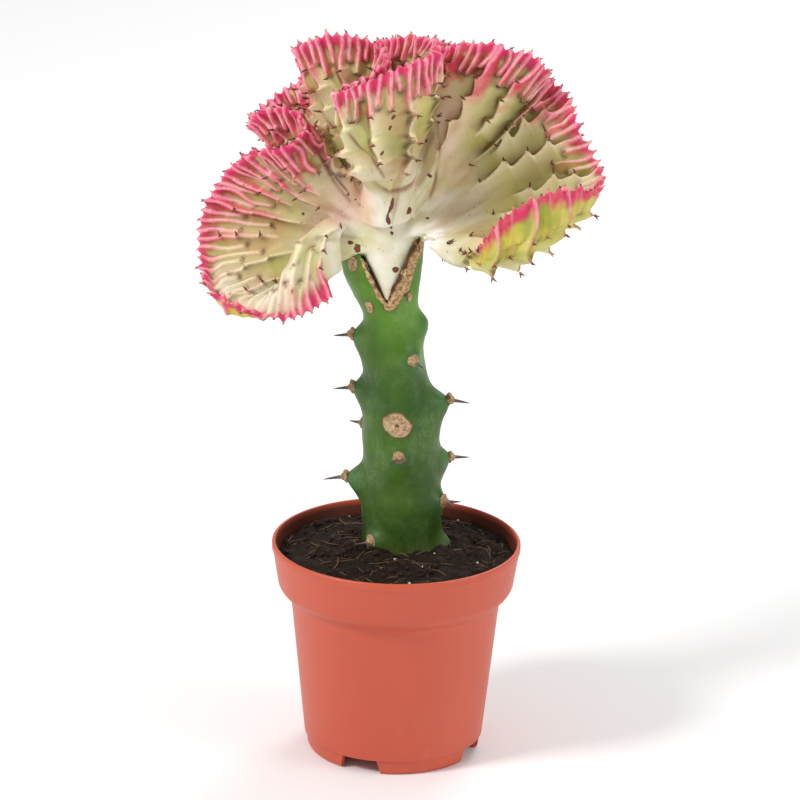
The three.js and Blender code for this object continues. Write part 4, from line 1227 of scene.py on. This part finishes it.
def rib_width(t, rank):
    """Half the width of a rib, as a share of the spacing of the ribs, where others start beside it."""
    w = lerp(2.0, 1.0, smoothstep(t, 0.44, 0.6))
    if rank >= 1:
        w = np.minimum(w, 1.0)
    w = lerp(w, 0.5, smoothstep(t, 0.78, 0.88))
    if rank >= 2:
        w = np.minimum(w, 0.38)
    w = lerp(w, 0.28, smoothstep(t, 0.86, 0.94))
    return np.minimum(w, 0.27) if rank == 3 else w


def tip_places(rib, rank, side, random):
    """Where along a long rib its spined tips are, from the core outwards, and how high each stands, in mm."""
    shift = 0.5 if (rib // 2 + side) % 2 else 0.0
    for row in range(1 + rank, 6):
        at = np.interp(row + shift - 0.25, np.arange(7), ROW_T) + random.uniform(-0.012, 0.012)
        if at < 0.9:
            grown = smoothstep(at, 0.32, 0.62) * (1 - 0.45 * smoothstep(at, 0.74, 0.9))
            yield at, TIP_HEIGHT[rank] * lerp(0.4, 1, grown) * random.uniform(0.8, 1.15)


def long_rib(t, rib, rank, side, strong, random):
    """A rib that runs out from the core: its crest dips behind each tip and climbs to the next one.

    Gives the crest's height, how near a tip it is, and the tips.
    """
    start = LONG_START[rank] + random.uniform(-0.03, 0.03)
    line = CREST_LINE[rank] * random.uniform(0.8, 1.2)
    crest, swung = np.full(len(t), line), np.zeros(len(t))
    tips = []
    before = start
    for at, high in tip_places(rib, rank, side, random):
        if at < before + 0.03:
            continue
        high = line + (high - line) * strong
        climb = np.where((t > before) & (t <= at), np.clip((t - before) / (at - before), 0, 1) ** 2.2, 0)
        climb = np.maximum(climb, np.exp(-np.maximum(t - at, 0) / 0.011) * (t > at))
        crest = np.maximum(crest, line + (high - line) * climb)
        swung = np.maximum(swung, climb)
        tips.append((at, high))
        before = at
    begun = smoothstep(t, start, start + 0.2)
    return crest * begun, swung * begun, tips


def short_rib(t, rank, start, strong, random):
    """A rib of the outer zone: it starts in a knob that overhangs the furrow and runs to the rim."""
    start = start + random.uniform(-0.045, 0.045)
    knob = TIP_HEIGHT[rank] * random.uniform(0.7, 1.15) * lerp(1, strong, 0.8)
    crest = lerp(knob, CREST_LINE[rank], smoothstep(t, start, 0.97)) * smoothstep(t, start - 0.014, start + 0.004)
    return crest, np.exp(-(((t - start) / 0.02) ** 2)), [(start + 0.004, knob)]


def relief(u, t, side, spread):
    """Grids of the ribs over the blade, and where their tips are.

    The grids: height in mm, how far it hooks outwards, the crest lines, the brown of the tips, the painted shade
    beside the tall crests and in front of the knobs, the painted shade of the dim side and the painted light of the lit
    side of the long ones. spread is how many mm of blade there are for each step of u.
    """
    grids = {key: np.zeros((len(u), len(t))) for key in ("height", "hook", "line", "brown", "shade", "dim", "lit")}
    tips = []
    random = np.random.default_rng(5 + side)
    tables = [np.array(table) for table in (TIP_SHARE, CREST_LEAN, LINE_WIDTH, SHORT_START, LAST_START, SHORT_WIDTH)]
    for step in range(2 * RIBS - 1):
        rib, between = divmod(step, 2)
        rank = 3 if between else rank_of(rib)
        centre = (rib + (1.0 if between else 0.5)) / RIBS
        sway = random.normal(0, 0.1, 2) / RIBS
        middle = centre + sway[0] * np.sin(t * 9 + step) + sway[1] * np.sin(t * 21 + 2 * step)
        near = np.abs(u - centre) < 2.8 / RIBS
        index = float(edge_t(centre)) * (len(MARGIN) - 1)
        strong, lean, pale, start, later, broad = (np.interp(index, table[:, 0], table[:, 1]) for table in tables)
        if rank < 2:
            crest, swung, places = long_rib(t, rib, rank, side, strong, random)
            middle = middle + lean * SCALLOP * swung / spread[int(centre * COLUMNS)]
            hooked = np.clip(crest - 1, 0, 5) ** 1.4 * 0.3 * (1 - smoothstep(t, 0.9, 0.96))
        else:
            crest, swung, places = short_rib(t, rank, start + later * (rank - 2), strong, random)
            if side and not LOW_ENDS[0] < index < LOW_ENDS[1]:
                crest = crest * LOW_SHARE
            hooked = -1.3 * swung
        away = u[near][:, None] - middle[None]
        stout = 1 if rank < 2 else broad * random.uniform(0.7, 1.25)
        width = stout * rib_width(t, rank)[None] * np.where(away < 0, 1 + 0.6 * lean, 1 - 0.6 * lean)
        x = np.clip(1 - np.abs(away) * RIBS / width, 0, 1)
        sharp = lerp(lerp(1.7, 2.3, smoothstep(crest, 1, 4)), 1.25, smoothstep(t, 0.8, 0.9) if rank < 2 else 1)
        shape = crest[None] * x ** sharp[None]
        apart = away * spread[near]
        wide = lerp(pale, 1.2, smoothstep(t, 0.78, 0.9))[None]
        tip_near = sum(np.exp(-(((t - at) / 0.016) ** 2)) for at, _ in places)
        # painted shade: a dark strip beside the leaning side of each tall crest, and in front of each knob where it
        # overhangs
        if rank < 2:
            shade = np.exp(-(((apart + 1.5) / 0.9) ** 2)) * smoothstep(crest, 2.2, 5)[None]
        else:
            inner = places[0][0] - 0.026
            shade = np.exp(-((apart / 1.9) ** 2)) * np.exp(-(((t - inner) / 0.016) ** 2))[None]
        higher = shape > grids["height"][near]
        made = {
            "height": shape,
            "line": np.exp(-((apart / wide) ** 2)) * smoothstep(crest, 0.2, 1.1)[None],
            "brown": np.exp(-((apart / 1.1) ** 2)) * tip_near[None],
            "shade": shade,
        }
        # painted shade on the dim side of each long crest, painted light on its lit side
        if rank < 2:
            raised = smoothstep(crest, 0.8, 2.6)[None]
            made["dim"] = (0.6 + 0.5 * abs(lean)) * np.exp(apart / 3.6) * (apart < 0) * raised
            made["lit"] = np.exp(-apart / 4.2) * (apart > 0) * raised
        grids["hook"][near] = np.where(higher, hooked[None] * x**0.8, grids["hook"][near])
        for key, values in made.items():
            grids[key][near] = np.maximum(grids[key][near], values)
        tips += [(float(np.interp(at, t, middle)), at, high, rank, index) for at, high in places]
    return grids, tips


def rim_shape(u):
    """How far the rim stands out, and how far it swings to one side, in mm, at each place along it."""
    tall = np.random.default_rng(77).uniform(0.5, 1.2, 2 * RIBS + 2)
    phase = u * RIBS * 2
    nearest = np.rint(phase).astype(int)
    tooth = np.clip(1 - np.abs(phase - nearest) * 1.9, 0, 1) ** 0.9 * tall[nearest]
    return RIM_BACK + RIM_TOOTH * tooth, RIM_SWING * np.where(nearest % 2, 1, -1) * tooth


def blade_data():
    u = np.arange(COLUMNS + 1) / COLUMNS
    s = np.linspace(0, 1, ROWS + 1)
    t = lerp(FIRST_ROW, 1, 1 - (1 - s) ** 1.2)
    middle = blade(u, t)
    out, normal = blade_frames(u, np.minimum(t, 0.985))
    for j in range(ROWS - 1, -1, -1):
        flip = (normal[:, j] * normal[:, j + 1]).sum(-1) < 0
        normal[flip, j] *= -1
    normal = unit(blur(blur(normal, 1.2 * COLUMNS_PER_RIB / 2, 0), 0.7 * ROWS / 6, 1))
    return u, t, middle, out, normal


def fold_factor(middle, normal, full, t):
    """How much of its thickness the blade keeps on the inside of tight folds, for both sides."""
    step = COLUMNS_PER_RIB // 2
    rows = np.unique(np.linspace(0, ROWS, 25).astype(int))
    m, n = middle[::step][:, rows], normal[::step][:, rows]
    factor = np.ones((2, m.shape[0], m.shape[1]))
    for side, sign in ((0, 1), (1, -1)):
        f = full[side][::step][:, rows]
        for _ in range(8):
            p = m + n * (sign * f * factor[side])[..., None]
            d = m[1:] - m[:-1]
            tight = ((p[1:] - p[:-1]) * d).sum(-1) < 0.15 * (d * d).sum(-1)
            grow = np.zeros_like(factor[side], bool)
            grow[1:] |= tight
            grow[:-1] |= tight
            factor[side][grow] = np.maximum(factor[side][grow] * 0.85, THINNEST)
    made = []
    for side in (0, 1):
        f = blur(factor[side], 1.0, 0)
        fine = np.stack([np.interp(np.arange(COLUMNS + 1), np.arange(0, COLUMNS + 1, step), f[:, j]) for j in range(len(rows))], 1)
        full_rows = np.stack([np.interp(np.arange(ROWS + 1), rows, fine[k]) for k in range(COLUMNS + 1)])
        made.append(full_rows)
    return made


SKIN_DATA = ("u", "t", "side", "ridge", "line", "brown", "shade", "dim", "lit")


def make_blade_shell():
    u, t, middle, out, normal = blade_data()
    base = half_thickness(u[:, None], t[None])
    spread = np.linalg.norm(np.gradient(middle, axis=0), axis=-1) * COLUMNS
    reliefs = [relief(u, t, side, spread) for side in (0, 1)]
    full = [base + 0.7 * np.minimum(grids["height"], 3) for grids, _ in reliefs]
    factors = fold_factor(middle, normal, full, t)
    stand, swing = rim_shape(u)
    by_rim = smoothstep(t, 0.94, 1)[None, :, None]
    index = edge_t(u) * (len(MARGIN) - 1)
    lip = sum(smoothstep(index, a, b) * (1 - smoothstep(index, c, d)) for a, b, c, d in LIP_SPANS)
    hang = LIP * lip[:, None] * np.exp(-(((t - 0.92) / 0.045) ** 2))[None]
    centre = middle + by_rim * (out * stand[:, None, None] + normal * swing[:, None, None])
    centre = centre - hang[..., None] * np.array([0, 0.15, 1.0])
    along = unit(np.gradient(middle, axis=0))
    leans = np.array(CREST_LEAN)
    aside = np.interp(index, leans[:, 0], leans[:, 1])[:, None]
    skins, attributes = [], {k: [] for k in SKIN_DATA}
    wave = fractal(middle.reshape(-1, 3), 7, 31, 2).reshape(base.shape)
    for side, sign in ((0, 1), (1, -1)):
        grids = reliefs[side][0]
        height, keep = grids["height"], factors[side]
        reach = (base - 0.25 + height + 0.3 * wave * smoothstep(t, 0.3, 0.6)[None]) * keep
        reach = np.maximum(reach, LEAST_HALF)
        tipped = aside * np.clip(height - 0.5, 0, 6) ** 1.2 * 0.55 * keep * (1 - smoothstep(t, 0.9, 0.96))[None]
        p = centre + normal * (sign * reach)[..., None] + out * (grids["hook"] * keep)[..., None]
        p += along * tipped[..., None]
        cap = centre[:, -1] + out[:, -1] * 0.4 + normal[:, -1] * (sign * 0.45 * EDGE_HALF)
        skins.append(np.concatenate([p, cap[:, None]], 1))
        values = {
            "u": np.repeat(u[:, None], ROWS + 1, 1), "t": np.repeat(t[None], COLUMNS + 1, 0),
            "side": np.full(height.shape, float(side)), "ridge": height, "line": grids["line"],
            "brown": grids["brown"], "shade": grids["shade"], "dim": grids["dim"], "lit": grids["lit"],
        }  # fmt: skip
        for key, v in values.items():
            attributes[key].append(np.concatenate([v, v[:, -1:]], 1).ravel())
    rows = ROWS + 2
    half = (COLUMNS + 1) * rows
    points = np.concatenate([s.reshape(-1, 3) for s in skins])
    k = np.arange(COLUMNS)[:, None]
    j = np.arange(rows - 1)[None]
    a = k * rows + j
    front = np.stack([a, a + 1, a + rows + 1, a + rows], -1).reshape(-1, 4)
    back = front[:, ::-1] + half
    col = np.arange(COLUMNS)
    strips = []
    for j_ in (0, rows - 1):
        p, q = col * rows + j_, (col + 1) * rows + j_
        strip = np.stack([p, q, q + half, p + half], -1)
        strips.append(strip if j_ else strip[:, ::-1])
    row = np.arange(rows - 1)
    for k_ in (0, COLUMNS):
        p, q = k_ * rows + row, k_ * rows + row + 1
        strip = np.stack([p, q, q + half, p + half], -1)
        strips.append(strip[:, ::-1] if k_ else strip)
    faces = np.concatenate([front, back, *strips])
    data = {key: np.concatenate(v) for key, v in attributes.items()}
    tips = []
    for side, sign in ((0, 1), (1, -1)):
        for at_u, at_t, high, rank, index_ in reliefs[side][1]:
            i = int(round(np.clip(at_u, 0, 1) * COLUMNS))
            j_ = int(np.argmin(np.abs(t - at_t)))
            if rank < 3 and (index_ > 12 or (i // 5) % 2):
                tips.append((skins[side][i, j_], normal[i, j_] * sign, out[i, j_], high, False))
    for tooth in range(1, 2 * RIBS):
        i = int(round(tooth / (2 * RIBS) * COLUMNS))
        tips.append((centre[i, -1], normal[i, -1] * np.sign(swing[i]), out[i, -1], 1.5, True))
    return points, faces, data, tips


def make_fan():
    columns, rows = 160, 60
    u = np.linspace(0, 1, columns + 1)
    f = np.linspace(0, 1, rows + 1)
    from_end = np.minimum(u, 1 - u) * EDGE_LENGTH
    reach = FAN_LAST * lerp(np.where(u < 0.5, *FAN_END), 1, smoothstep(from_end, *FAN_SPAN))
    t = f[None] * reach[:, None]
    middle = blade(u, t, even=True)
    _, normal = blade_frames(u, np.maximum(t, 0.05), even=True)
    round_ = np.sqrt(np.maximum(0.2, np.sin(np.pi * (0.06 + 0.88 * u))))
    half = lerp(FAN_BASE, FAN_EDGE, f)[None] * round_[:, None]
    skins = [middle + normal * (sign * half)[..., None] for sign in (1, -1)]
    count = (columns + 1) * (rows + 1)
    points = np.concatenate([s.reshape(-1, 3) for s in skins])
    k, j = np.arange(columns)[:, None], np.arange(rows)[None]
    a = k * (rows + 1) + j
    front = np.stack([a, a + 1, a + rows + 2, a + rows + 1], -1).reshape(-1, 4)
    strips = []
    for j_ in (0, rows):
        p = np.arange(columns) * (rows + 1) + j_
        strips.append(np.stack([p, p + rows + 1, p + rows + 1 + count, p + count], -1))
    for k_ in (0, columns):
        p = k_ * (rows + 1) + np.arange(rows)
        strips.append(np.stack([p, p + 1, p + 1 + count, p + count], -1))
    data = {key: np.zeros(2 * count) for key in SKIN_DATA}
    data |= {"u": np.tile(np.repeat(u, rows + 1), 2), "t": np.tile(t.ravel(), 2), "side": np.repeat([0.0, 1.0], count)}
    return points, np.concatenate([front, front[:, ::-1] + count, *strips]), data


def make_wedge():
    rows, sides, neck = 70, 96, 14
    z = np.linspace(CLEFT_BOTTOM, CLEFT_TOP + neck, rows + 1)
    f = np.minimum((z - CLEFT_BOTTOM) / (CLEFT_TOP - CLEFT_BOTTOM), 1)
    left = lerp(CLEFT_X, CLEFT_LEFT, f) - CLEFT_HALF
    right = lerp(CLEFT_X, CLEFT_RIGHT, f) + CLEFT_HALF
    over = np.maximum(0, z - CLEFT_TOP) / neck
    round_ = np.sqrt(1 - 0.75 * over**2)
    stem = stem_at(np.minimum(z, STEM[-1, 0]))
    depth = (stem[:, 3] + lerp(0.4, -1.5, f)) * round_
    half = (right - left) / 2 * round_
    a = (np.arange(sides) + 0.5) / sides * 2 * np.pi
    square = lambda v: np.sign(v) * np.abs(v) ** 0.7
    x = ((left + right) / 2)[:, None] + square(np.sin(a)) * half[:, None]
    y = stem[:, 1][:, None] - square(np.cos(a)) * depth[:, None]
    rings = np.stack([x, y, np.repeat(z[:, None], sides, 1)], -1)
    points, faces = closed_tube(rings)
    n = len(points)
    data = {key: np.full(n, 0.45 if key == "u" else 0.0) for key in SKIN_DATA}
    return points, faces, data


def nearest_values(thing, source_points, data):
    """Reads the source's values at each point of the remeshed object."""
    from mathutils.kdtree import KDTree

    tree = KDTree(len(source_points))
    for k, p in enumerate(source_points.tolist()):
        tree.insert(p, k)
    tree.balance()
    index = np.fromiter((tree.find(p)[1] for p in points_of(thing).tolist()), np.int64, len(thing.data.vertices))
    return {key: values[index] for key, values in data.items()}


# Creases that the front shows: half width in mm, then the pixels of the photograph they run through.
CREASES = [
    (1.5, [(374, 182), (384, 190), (396, 192.5), (408, 187), (416, 176), (424, 156), (432, 134)]),
    (0.9, [(298, 116), (309, 134), (320, 154), (334, 180), (350, 200)]),
    (0.8, [(306, 148), (327, 167), (344, 187), (360, 205)]),
    (0.9, [(322, 112), (332, 136), (346, 160), (366, 186)]),
    (0.8, [(349, 134), (358, 146), (372, 160), (384, 178)]),
    (0.8, [(430, 200), (436, 178), (438, 150), (436, 122)]),
]
# The white valley between the two lobes on the right, in the same way.
PALE_VALLEY = [(8.0, [(455, 78), (454, 100), (449, 118), (444, 138), (437, 158), (428, 190)])]
FOLD_HEIGHT = 0.9
CREASE_DEPTH = 1.1


def radial_folds(p):
    """Long shallow folds that run out from the core, from -1 to 1."""
    away = p - CORE
    turn = np.arctan2(away[:, 0], away[:, 2]) * 34
    reach = np.linalg.norm(away, axis=1)
    return fractal(np.stack([turn, reach * 0.13, away[:, 1] * 0.1], -1), 5, 35, 3)


def near_lines(p, tree, lines):
    """How near the middle of a line on the front each point is, from 0 to 1."""
    deep = np.zeros(len(p))
    for half, pixels in lines:
        spots = [seen_at(tree, px, py)[0] for px, py in pixels]
        line = catmull(np.array([spot for spot in spots if spot is not None]), np.linspace(0, 1, 100))
        fade = np.sin(np.linspace(0.15, math.pi - 0.15, 100)) ** 0.5
        near = np.flatnonzero(((p > line.min(0) - 3 * half) & (p < line.max(0) + 3 * half)).all(1))
        for at, strong in zip(line, fade):
            away = np.linalg.norm(p[near] - at, axis=1)
            deep[near] = np.maximum(deep[near], strong * np.exp(-((away / half) ** 2)))
    return deep


def make_crest():
    shell_points, shell_faces, shell_data, tips = make_blade_shell()
    fan_points, fan_faces, fan_data = make_fan()
    wedge_points, wedge_faces, wedge_data = make_wedge()
    points, faces = join_meshes(
        [(shell_points, shell_faces), (fan_points, fan_faces), (wedge_points, wedge_faces)]
    )
    data = {key: np.concatenate([shell_data[key], fan_data[key], wedge_data[key]]) for key in shell_data}
    thing = make_mesh("crest_flesh", points, faces)
    remeshed(thing, 0.55)
    values = nearest_values(thing, points, data)
    edges = edges_of(thing)
    p = points_of(thing)
    t = values["t"]
    # creases near the core are filled and evened out, the outer parts keep their relief
    soft = 0.6 * (1 - smoothstep(t, 0.3, 0.46))
    p = smoothed(p, edges, soft, 12)
    p = smoothed(p, edges, np.full(len(p), 0.3), 1)
    low, high = (np.array(corner) / MM for corner in CAD_BOX)
    set_points(thing, p)
    from_core = np.linalg.norm((p - (CORE + [0, 0, 6])) * [1, 0.7, 1], axis=1)
    above_stem = smoothstep(p[:, 2], CLEFT_TOP - 14, CLEFT_TOP + 8)
    folds = radial_folds(p) * smoothstep(from_core, 8, 26) * (1 - smoothstep(t, 0.52, 0.7)) * above_stem
    tree = tree_of(thing)
    # the creases are dented in, and painted pinkish-brown, partly their own colour and partly painted shade
    crease_and_shade = near_lines(p, tree, CREASES)
    pale = near_lines(p, tree, PALE_VALLEY)
    p = p + normals_of(thing) * (FOLD_HEIGHT * folds - CREASE_DEPTH * crease_and_shade)[:, None]
    p = np.clip(p, low + 0.1, high - 0.1)
    set_points(thing, p)
    values |= {"folds": folds, "crease_and_shade": crease_and_shade, "from_core": from_core, "pale": pale}
    inner = smoothed(p, edges, np.full(len(p), 0.5), 10)
    # how deep each point lies in a furrow; it drives the painted shade in the furrows
    hollow_shade = ((inner - p) * normals_of(thing)).sum(-1)  # mm, above 0 in furrows and below 0 on ribs
    colour_crest(thing, values, p, edges, hollow_shade)
    thing.data.polygons.foreach_set("use_smooth", np.ones(len(thing.data.polygons), bool))
    piece(thing, "crest_flesh", crest_look(), "crest")
    make_spines(tips)
    return thing


def colour_crest(thing, values, p, edges, hollow_shade):
    u, t, line = values["u"], values["t"], values["line"]
    # distance to the growing edge along the blade, in mm
    places = np.linspace(0, 1, 400)
    span = np.linalg.norm(catmull(MARGIN[:, :3], edge_t(places)) - CORE, axis=1)
    inward = (1 - t) * np.interp(u, places, span) * 0.92
    index = edge_t(u) * (len(MARGIN) - 1)
    flush = np.array(FLUSH, float)
    width = np.interp(index, flush[:, 0], flush[:, 1])
    strength = np.interp(index, flush[:, 0], flush[:, 2])
    ridge = np.clip(values["ridge"] / 2.2, 0, 1)
    left = 1 - smoothstep(index, 12, 15)
    ragged = 0.55 + 0.45 * fractal(p, 9, 41, 3) + (0.55 + 1.1 * left) * ridge
    blush = strength * (1 - smoothstep(inward / np.maximum(width * ragged, 0.5), 0.4, 1.5))
    rim = 1 - smoothstep(inward + 1.5 * fractal(p, 5, 49, 2), 0.8, 6.5)
    from_core = values["from_core"]
    cream = 1 - smoothstep(from_core + 8 * fractal(p, 12, 44, 3), 22, 60)
    cream = np.maximum(cream, 0.7 * (1 - smoothstep(t, 0.3, 0.52)))
    cream = np.maximum(cream, values["pale"])
    white = smoothstep(t, 0.5, 0.75) * (1 - smoothstep(index, 4, 7)) * (values["side"] < 0.5)
    cream = np.maximum(cream, 0.75 * white)
    right = smoothstep(index, 50, 54)
    dusty = smoothstep(fractal(p, 15, 47, 3), -0.25, 0.7) * lerp(lerp(0.5, 0.2, right), 0.5, left)
    low = np.clip(smoothstep(index, 64, 66) + 1 - smoothstep(index, 5, 7), 0, 1)
    lime = low * smoothstep(t, 0.6, 0.8) * (values["side"] > 0.5)
    blush = blush * (1 - 0.75 * lime * smoothstep(inward, 3, 7))
    # the marks beside the crests and in front of the knobs, in the furrows and on the dim sides of the long crests are
    # painted shade, those on the lit sides painted light; the creases' mark is partly painted shade
    looks = {
        "line": line, "cream": cream, "blush": np.clip(blush, 0, 1), "dusty": dusty,
        "ridge": ridge, "lime": lime, "tip": values["brown"], "rim": rim, "deep": values["shade"] * (1 - 0.5 * values["pale"]),
        "veins": smoothstep(-values["folds"], 0.1, 0.7), "hollow_shade": smoothstep(hollow_shade, 0.02, 0.4) * (1 - 0.6 * values["pale"]),
        "proud": smoothstep(-hollow_shade, 0.05, 0.6), "dim": values["dim"], "lit": values["lit"] * (1 - 0.5 * left),
        "crease_and_shade": values["crease_and_shade"], "rosy": left * smoothstep(t, 0.4, 0.62) * smoothstep(index, 5, 8),
    }  # fmt: skip
    a, b = edges[:, 0], edges[:, 1]
    count = np.maximum(np.bincount(a, minlength=len(p)) + np.bincount(b, minlength=len(p)), 1)
    for key, v in looks.items():
        around = (np.bincount(a, v[b], len(v)) + np.bincount(b, v[a], len(v))) / count
        add_attribute(thing, key, 0.6 * v + 0.4 * around)


def make_spines(tips):
    """Pairs of dark spines on the tips, leaning outwards; single ones stand out of the rim's teeth."""
    random = np.random.default_rng(9)
    low, high_corner = (np.array(c) / MM for c in CAD_BOX)
    parts, along, gold = [], [], []
    for at, normal, out, high, rim in tips:
        side = unit(np.cross(out, normal))
        golden = random.uniform(0, 1) < (0.55 if rim else 0.15)
        size = 0.65 + 0.35 * min(high / 4, 1)
        for sign in (-1, 1):
            stand, forward, apart = (0.5, 1.0, 0.5) if rim else (0.9, random.uniform(0.1, 0.6), 0.65)
            aim_at = unit(normal * stand + out * forward + side * sign * apart * random.uniform(0.6, 1.3))
            length = (2.5 if rim else 3.3) * size * random.uniform(0.75, 1.15)
            bend = 0.25 * random.uniform(-1, 1)
            pts, faces, far = spike(at - aim_at * 0.5, aim_at, 0.62 * size, length, 6, 6, bend, out)
            if (pts < low).any() or (pts > high_corner).any():
                continue
            parts.append((pts, faces))
            along.append(far)
            gold.append(np.full(len(far), 0.85 * golden))
    pts, faces = join_meshes(parts)
    data = {"along": np.concatenate(along), "gold": np.concatenate(gold)}
    thing = make_mesh("crest_spines", pts, faces, data)
    piece(thing, "cork", spine_look(), "crest")


crest = make_crest()

# Brown scabs on the crest's pale front: [pixel x, pixel y, half width, half height in mm].
SCABS = [
    (409, 210.5, 1.5, 2.2), (357.5, 248.5, 1.6, 2.1), (350.5, 242.5, 1.3, 0.9), (395.5, 269, 1.5, 1.5),
    (348, 194, 0.9, 0.9), (355, 200, 0.7, 0.6), (429.5, 175.5, 1.1, 1.0), (427.5, 218.5, 1.1, 0.9),
    (382, 153.5, 1.1, 1.7), (393.5, 117, 1.0, 1.8), (390, 128, 0.9, 1.6), (303, 213.5, 1.0, 0.9),
    (342, 211.5, 0.6, 0.5), (391.5, 180, 0.6, 0.6), (406, 190, 0.7, 0.5), (363, 207, 0.6, 0.5),
    (400, 203, 0.4, 0.9), (416, 190, 0.5, 0.7), (379, 249, 0.5, 0.6), (402, 246, 0.4, 0.4),
]  # fmt: skip
# A scar that runs down the pale front: [pixel x, pixel y, half width in mm].
SCAR = [
    (393, 198, 0.5), (392, 202, 1.0), (391, 207, 1.1), (389, 212, 0.6), (387.5, 216, 0.6), (388, 220, 1.1),
    (389.5, 223.5, 0.8), (391.5, 228, 0.5), (392, 232.5, 0.9), (392.5, 235, 0.4),
]  # fmt: skip


def scar_tube(tree, marks):
    spots = [(*seen_at(tree, px, py), half) for px, py, half in marks]
    spots = [spot for spot in spots if spot[0] is not None]
    at = catmull(np.array([spot[0] for spot in spots]), np.linspace(0, 1, 60))
    half = catmull(np.array([spot[2] for spot in spots], float), np.linspace(0, 1, 60))
    normal = unit(sum(spot[1] for spot in spots))
    side = unit(np.cross(unit(np.gradient(at, axis=0)), normal))
    a = np.arange(12) / 12 * 2 * np.pi
    ring = at[:, None] + half[:, :1, None] * (
        np.cos(a)[None, :, None] * side[:, None] + 0.5 * np.sin(a)[None, :, None] * normal
    )
    ring += 0.25 * fractal(ring.reshape(-1, 3), 1.6, 53, 2).reshape(ring.shape[:2])[..., None] * normal
    return closed_tube(ring)


def make_scabs():
    tree = tree_of(crest)
    made = [scar_tube(tree, SCAR)]
    for n, (px, py, w, h) in enumerate(SCABS):
        at, normal = seen_at(tree, px, py)
        if at is None:
            continue
        pts, faces = lump(at - normal * 0.12, normal, w, h, n + 900, 0.3, 2)
        pts = pts + 0.3 * w * noise(pts, 1.3, 57)[:, None] * unit(pts - at)
        made.append((pts, faces))
    pts, faces = join_meshes(made)
    piece(make_mesh("scabs", pts, faces), "cork", scab_look(), "crest")


make_scabs()


# ================================================================ callus
CALLUS_RADIUS = 3.2


def callus_line(side):
    def on_skin(x, z):
        sx, sy, width, depth = stem_at(min(z, CLEFT_TOP - 6))
        across = np.clip((x - sx) / width, -1, 1)
        return np.array([x, sy - side * depth * math.sqrt(1 - across**2), z])

    def arm(share, end, aside):
        return on_skin(lerp(CLEFT_X, end, share) + aside, lerp(CLEFT_BOTTOM, CLEFT_TOP, share))

    rows = [arm(s, CLEFT_LEFT, -2.6) for s in (0.62, 0.42, 0.2)]
    rows.append(on_skin(CLEFT_X + 0.4, CLEFT_BOTTOM - 2.4))
    rows += [arm(s, CLEFT_RIGHT, 3.6) for s in (0.2, 0.45, 0.7, 0.92)]
    fine = catmull(np.array(rows), np.linspace(0, 1, 400))
    run = np.concatenate([[0], np.cumsum(np.linalg.norm(np.diff(fine, axis=0), axis=1))])
    even = np.linspace(0, run[-1], 150)
    return np.stack([np.interp(even, run, fine[:, c]) for c in range(3)], -1)


def make_callus(side, name, node):
    line = callus_line(side)
    f = np.linspace(0, 1, len(line))
    tangent = unit(np.gradient(line, axis=0))
    out = np.column_stack([line[:, 0] + 7, line[:, 1] - 5, np.zeros(len(line))])
    out = unit(out)
    across = unit(np.cross(tangent, out))
    out = unit(np.cross(across, tangent))
    thick = smoothstep(line[:, 0], CLEFT_X - 3, CLEFT_X + 6)
    end = np.sqrt(smoothstep(np.minimum(f, 1 - f), -0.02, 0.09))
    a = np.arange(64) / 64 * 2 * np.pi
    ragged = 1 + 0.4 * fractal(np.column_stack([f * 60, np.zeros_like(f), np.full_like(f, side)]), 6, 67, 2)
    wide = CALLUS_RADIUS * (0.42 + 0.78 * thick) * end * ragged
    high = CALLUS_RADIUS * (0.5 + 0.14 * thick) * end
    ring = line[:, None] + (np.cos(a)[None, :, None] * across[:, None] * wide[:, None, None]
                            + np.sin(a)[None, :, None] * out[:, None] * high[:, None, None])
    flat = ring.reshape(-1, 3)
    away = unit(flat - np.repeat(line, 64, 0))
    rough = 0.55 * fractal(flat, 4, 61, 3) + 0.3 * noise(flat, 1.1, 66) + 0.15 * noise(flat, 0.6, 68)
    points, faces = closed_tube((flat + away * rough[:, None]).reshape(ring.shape))
    border = np.tile(np.abs(np.cos(a)) ** 3, len(line)) + 0.4 * fractal(flat, 2.2, 69, 2)
    border = np.append(border, [1, 1])
    thing = make_mesh(name, points, faces, {"border": np.clip(border, 0, 1)})
    piece(thing, "cork", callus_look(name), node)


make_callus(1, "cork_front", "callus_front")
make_callus(-1, "cork_back", "callus_back")
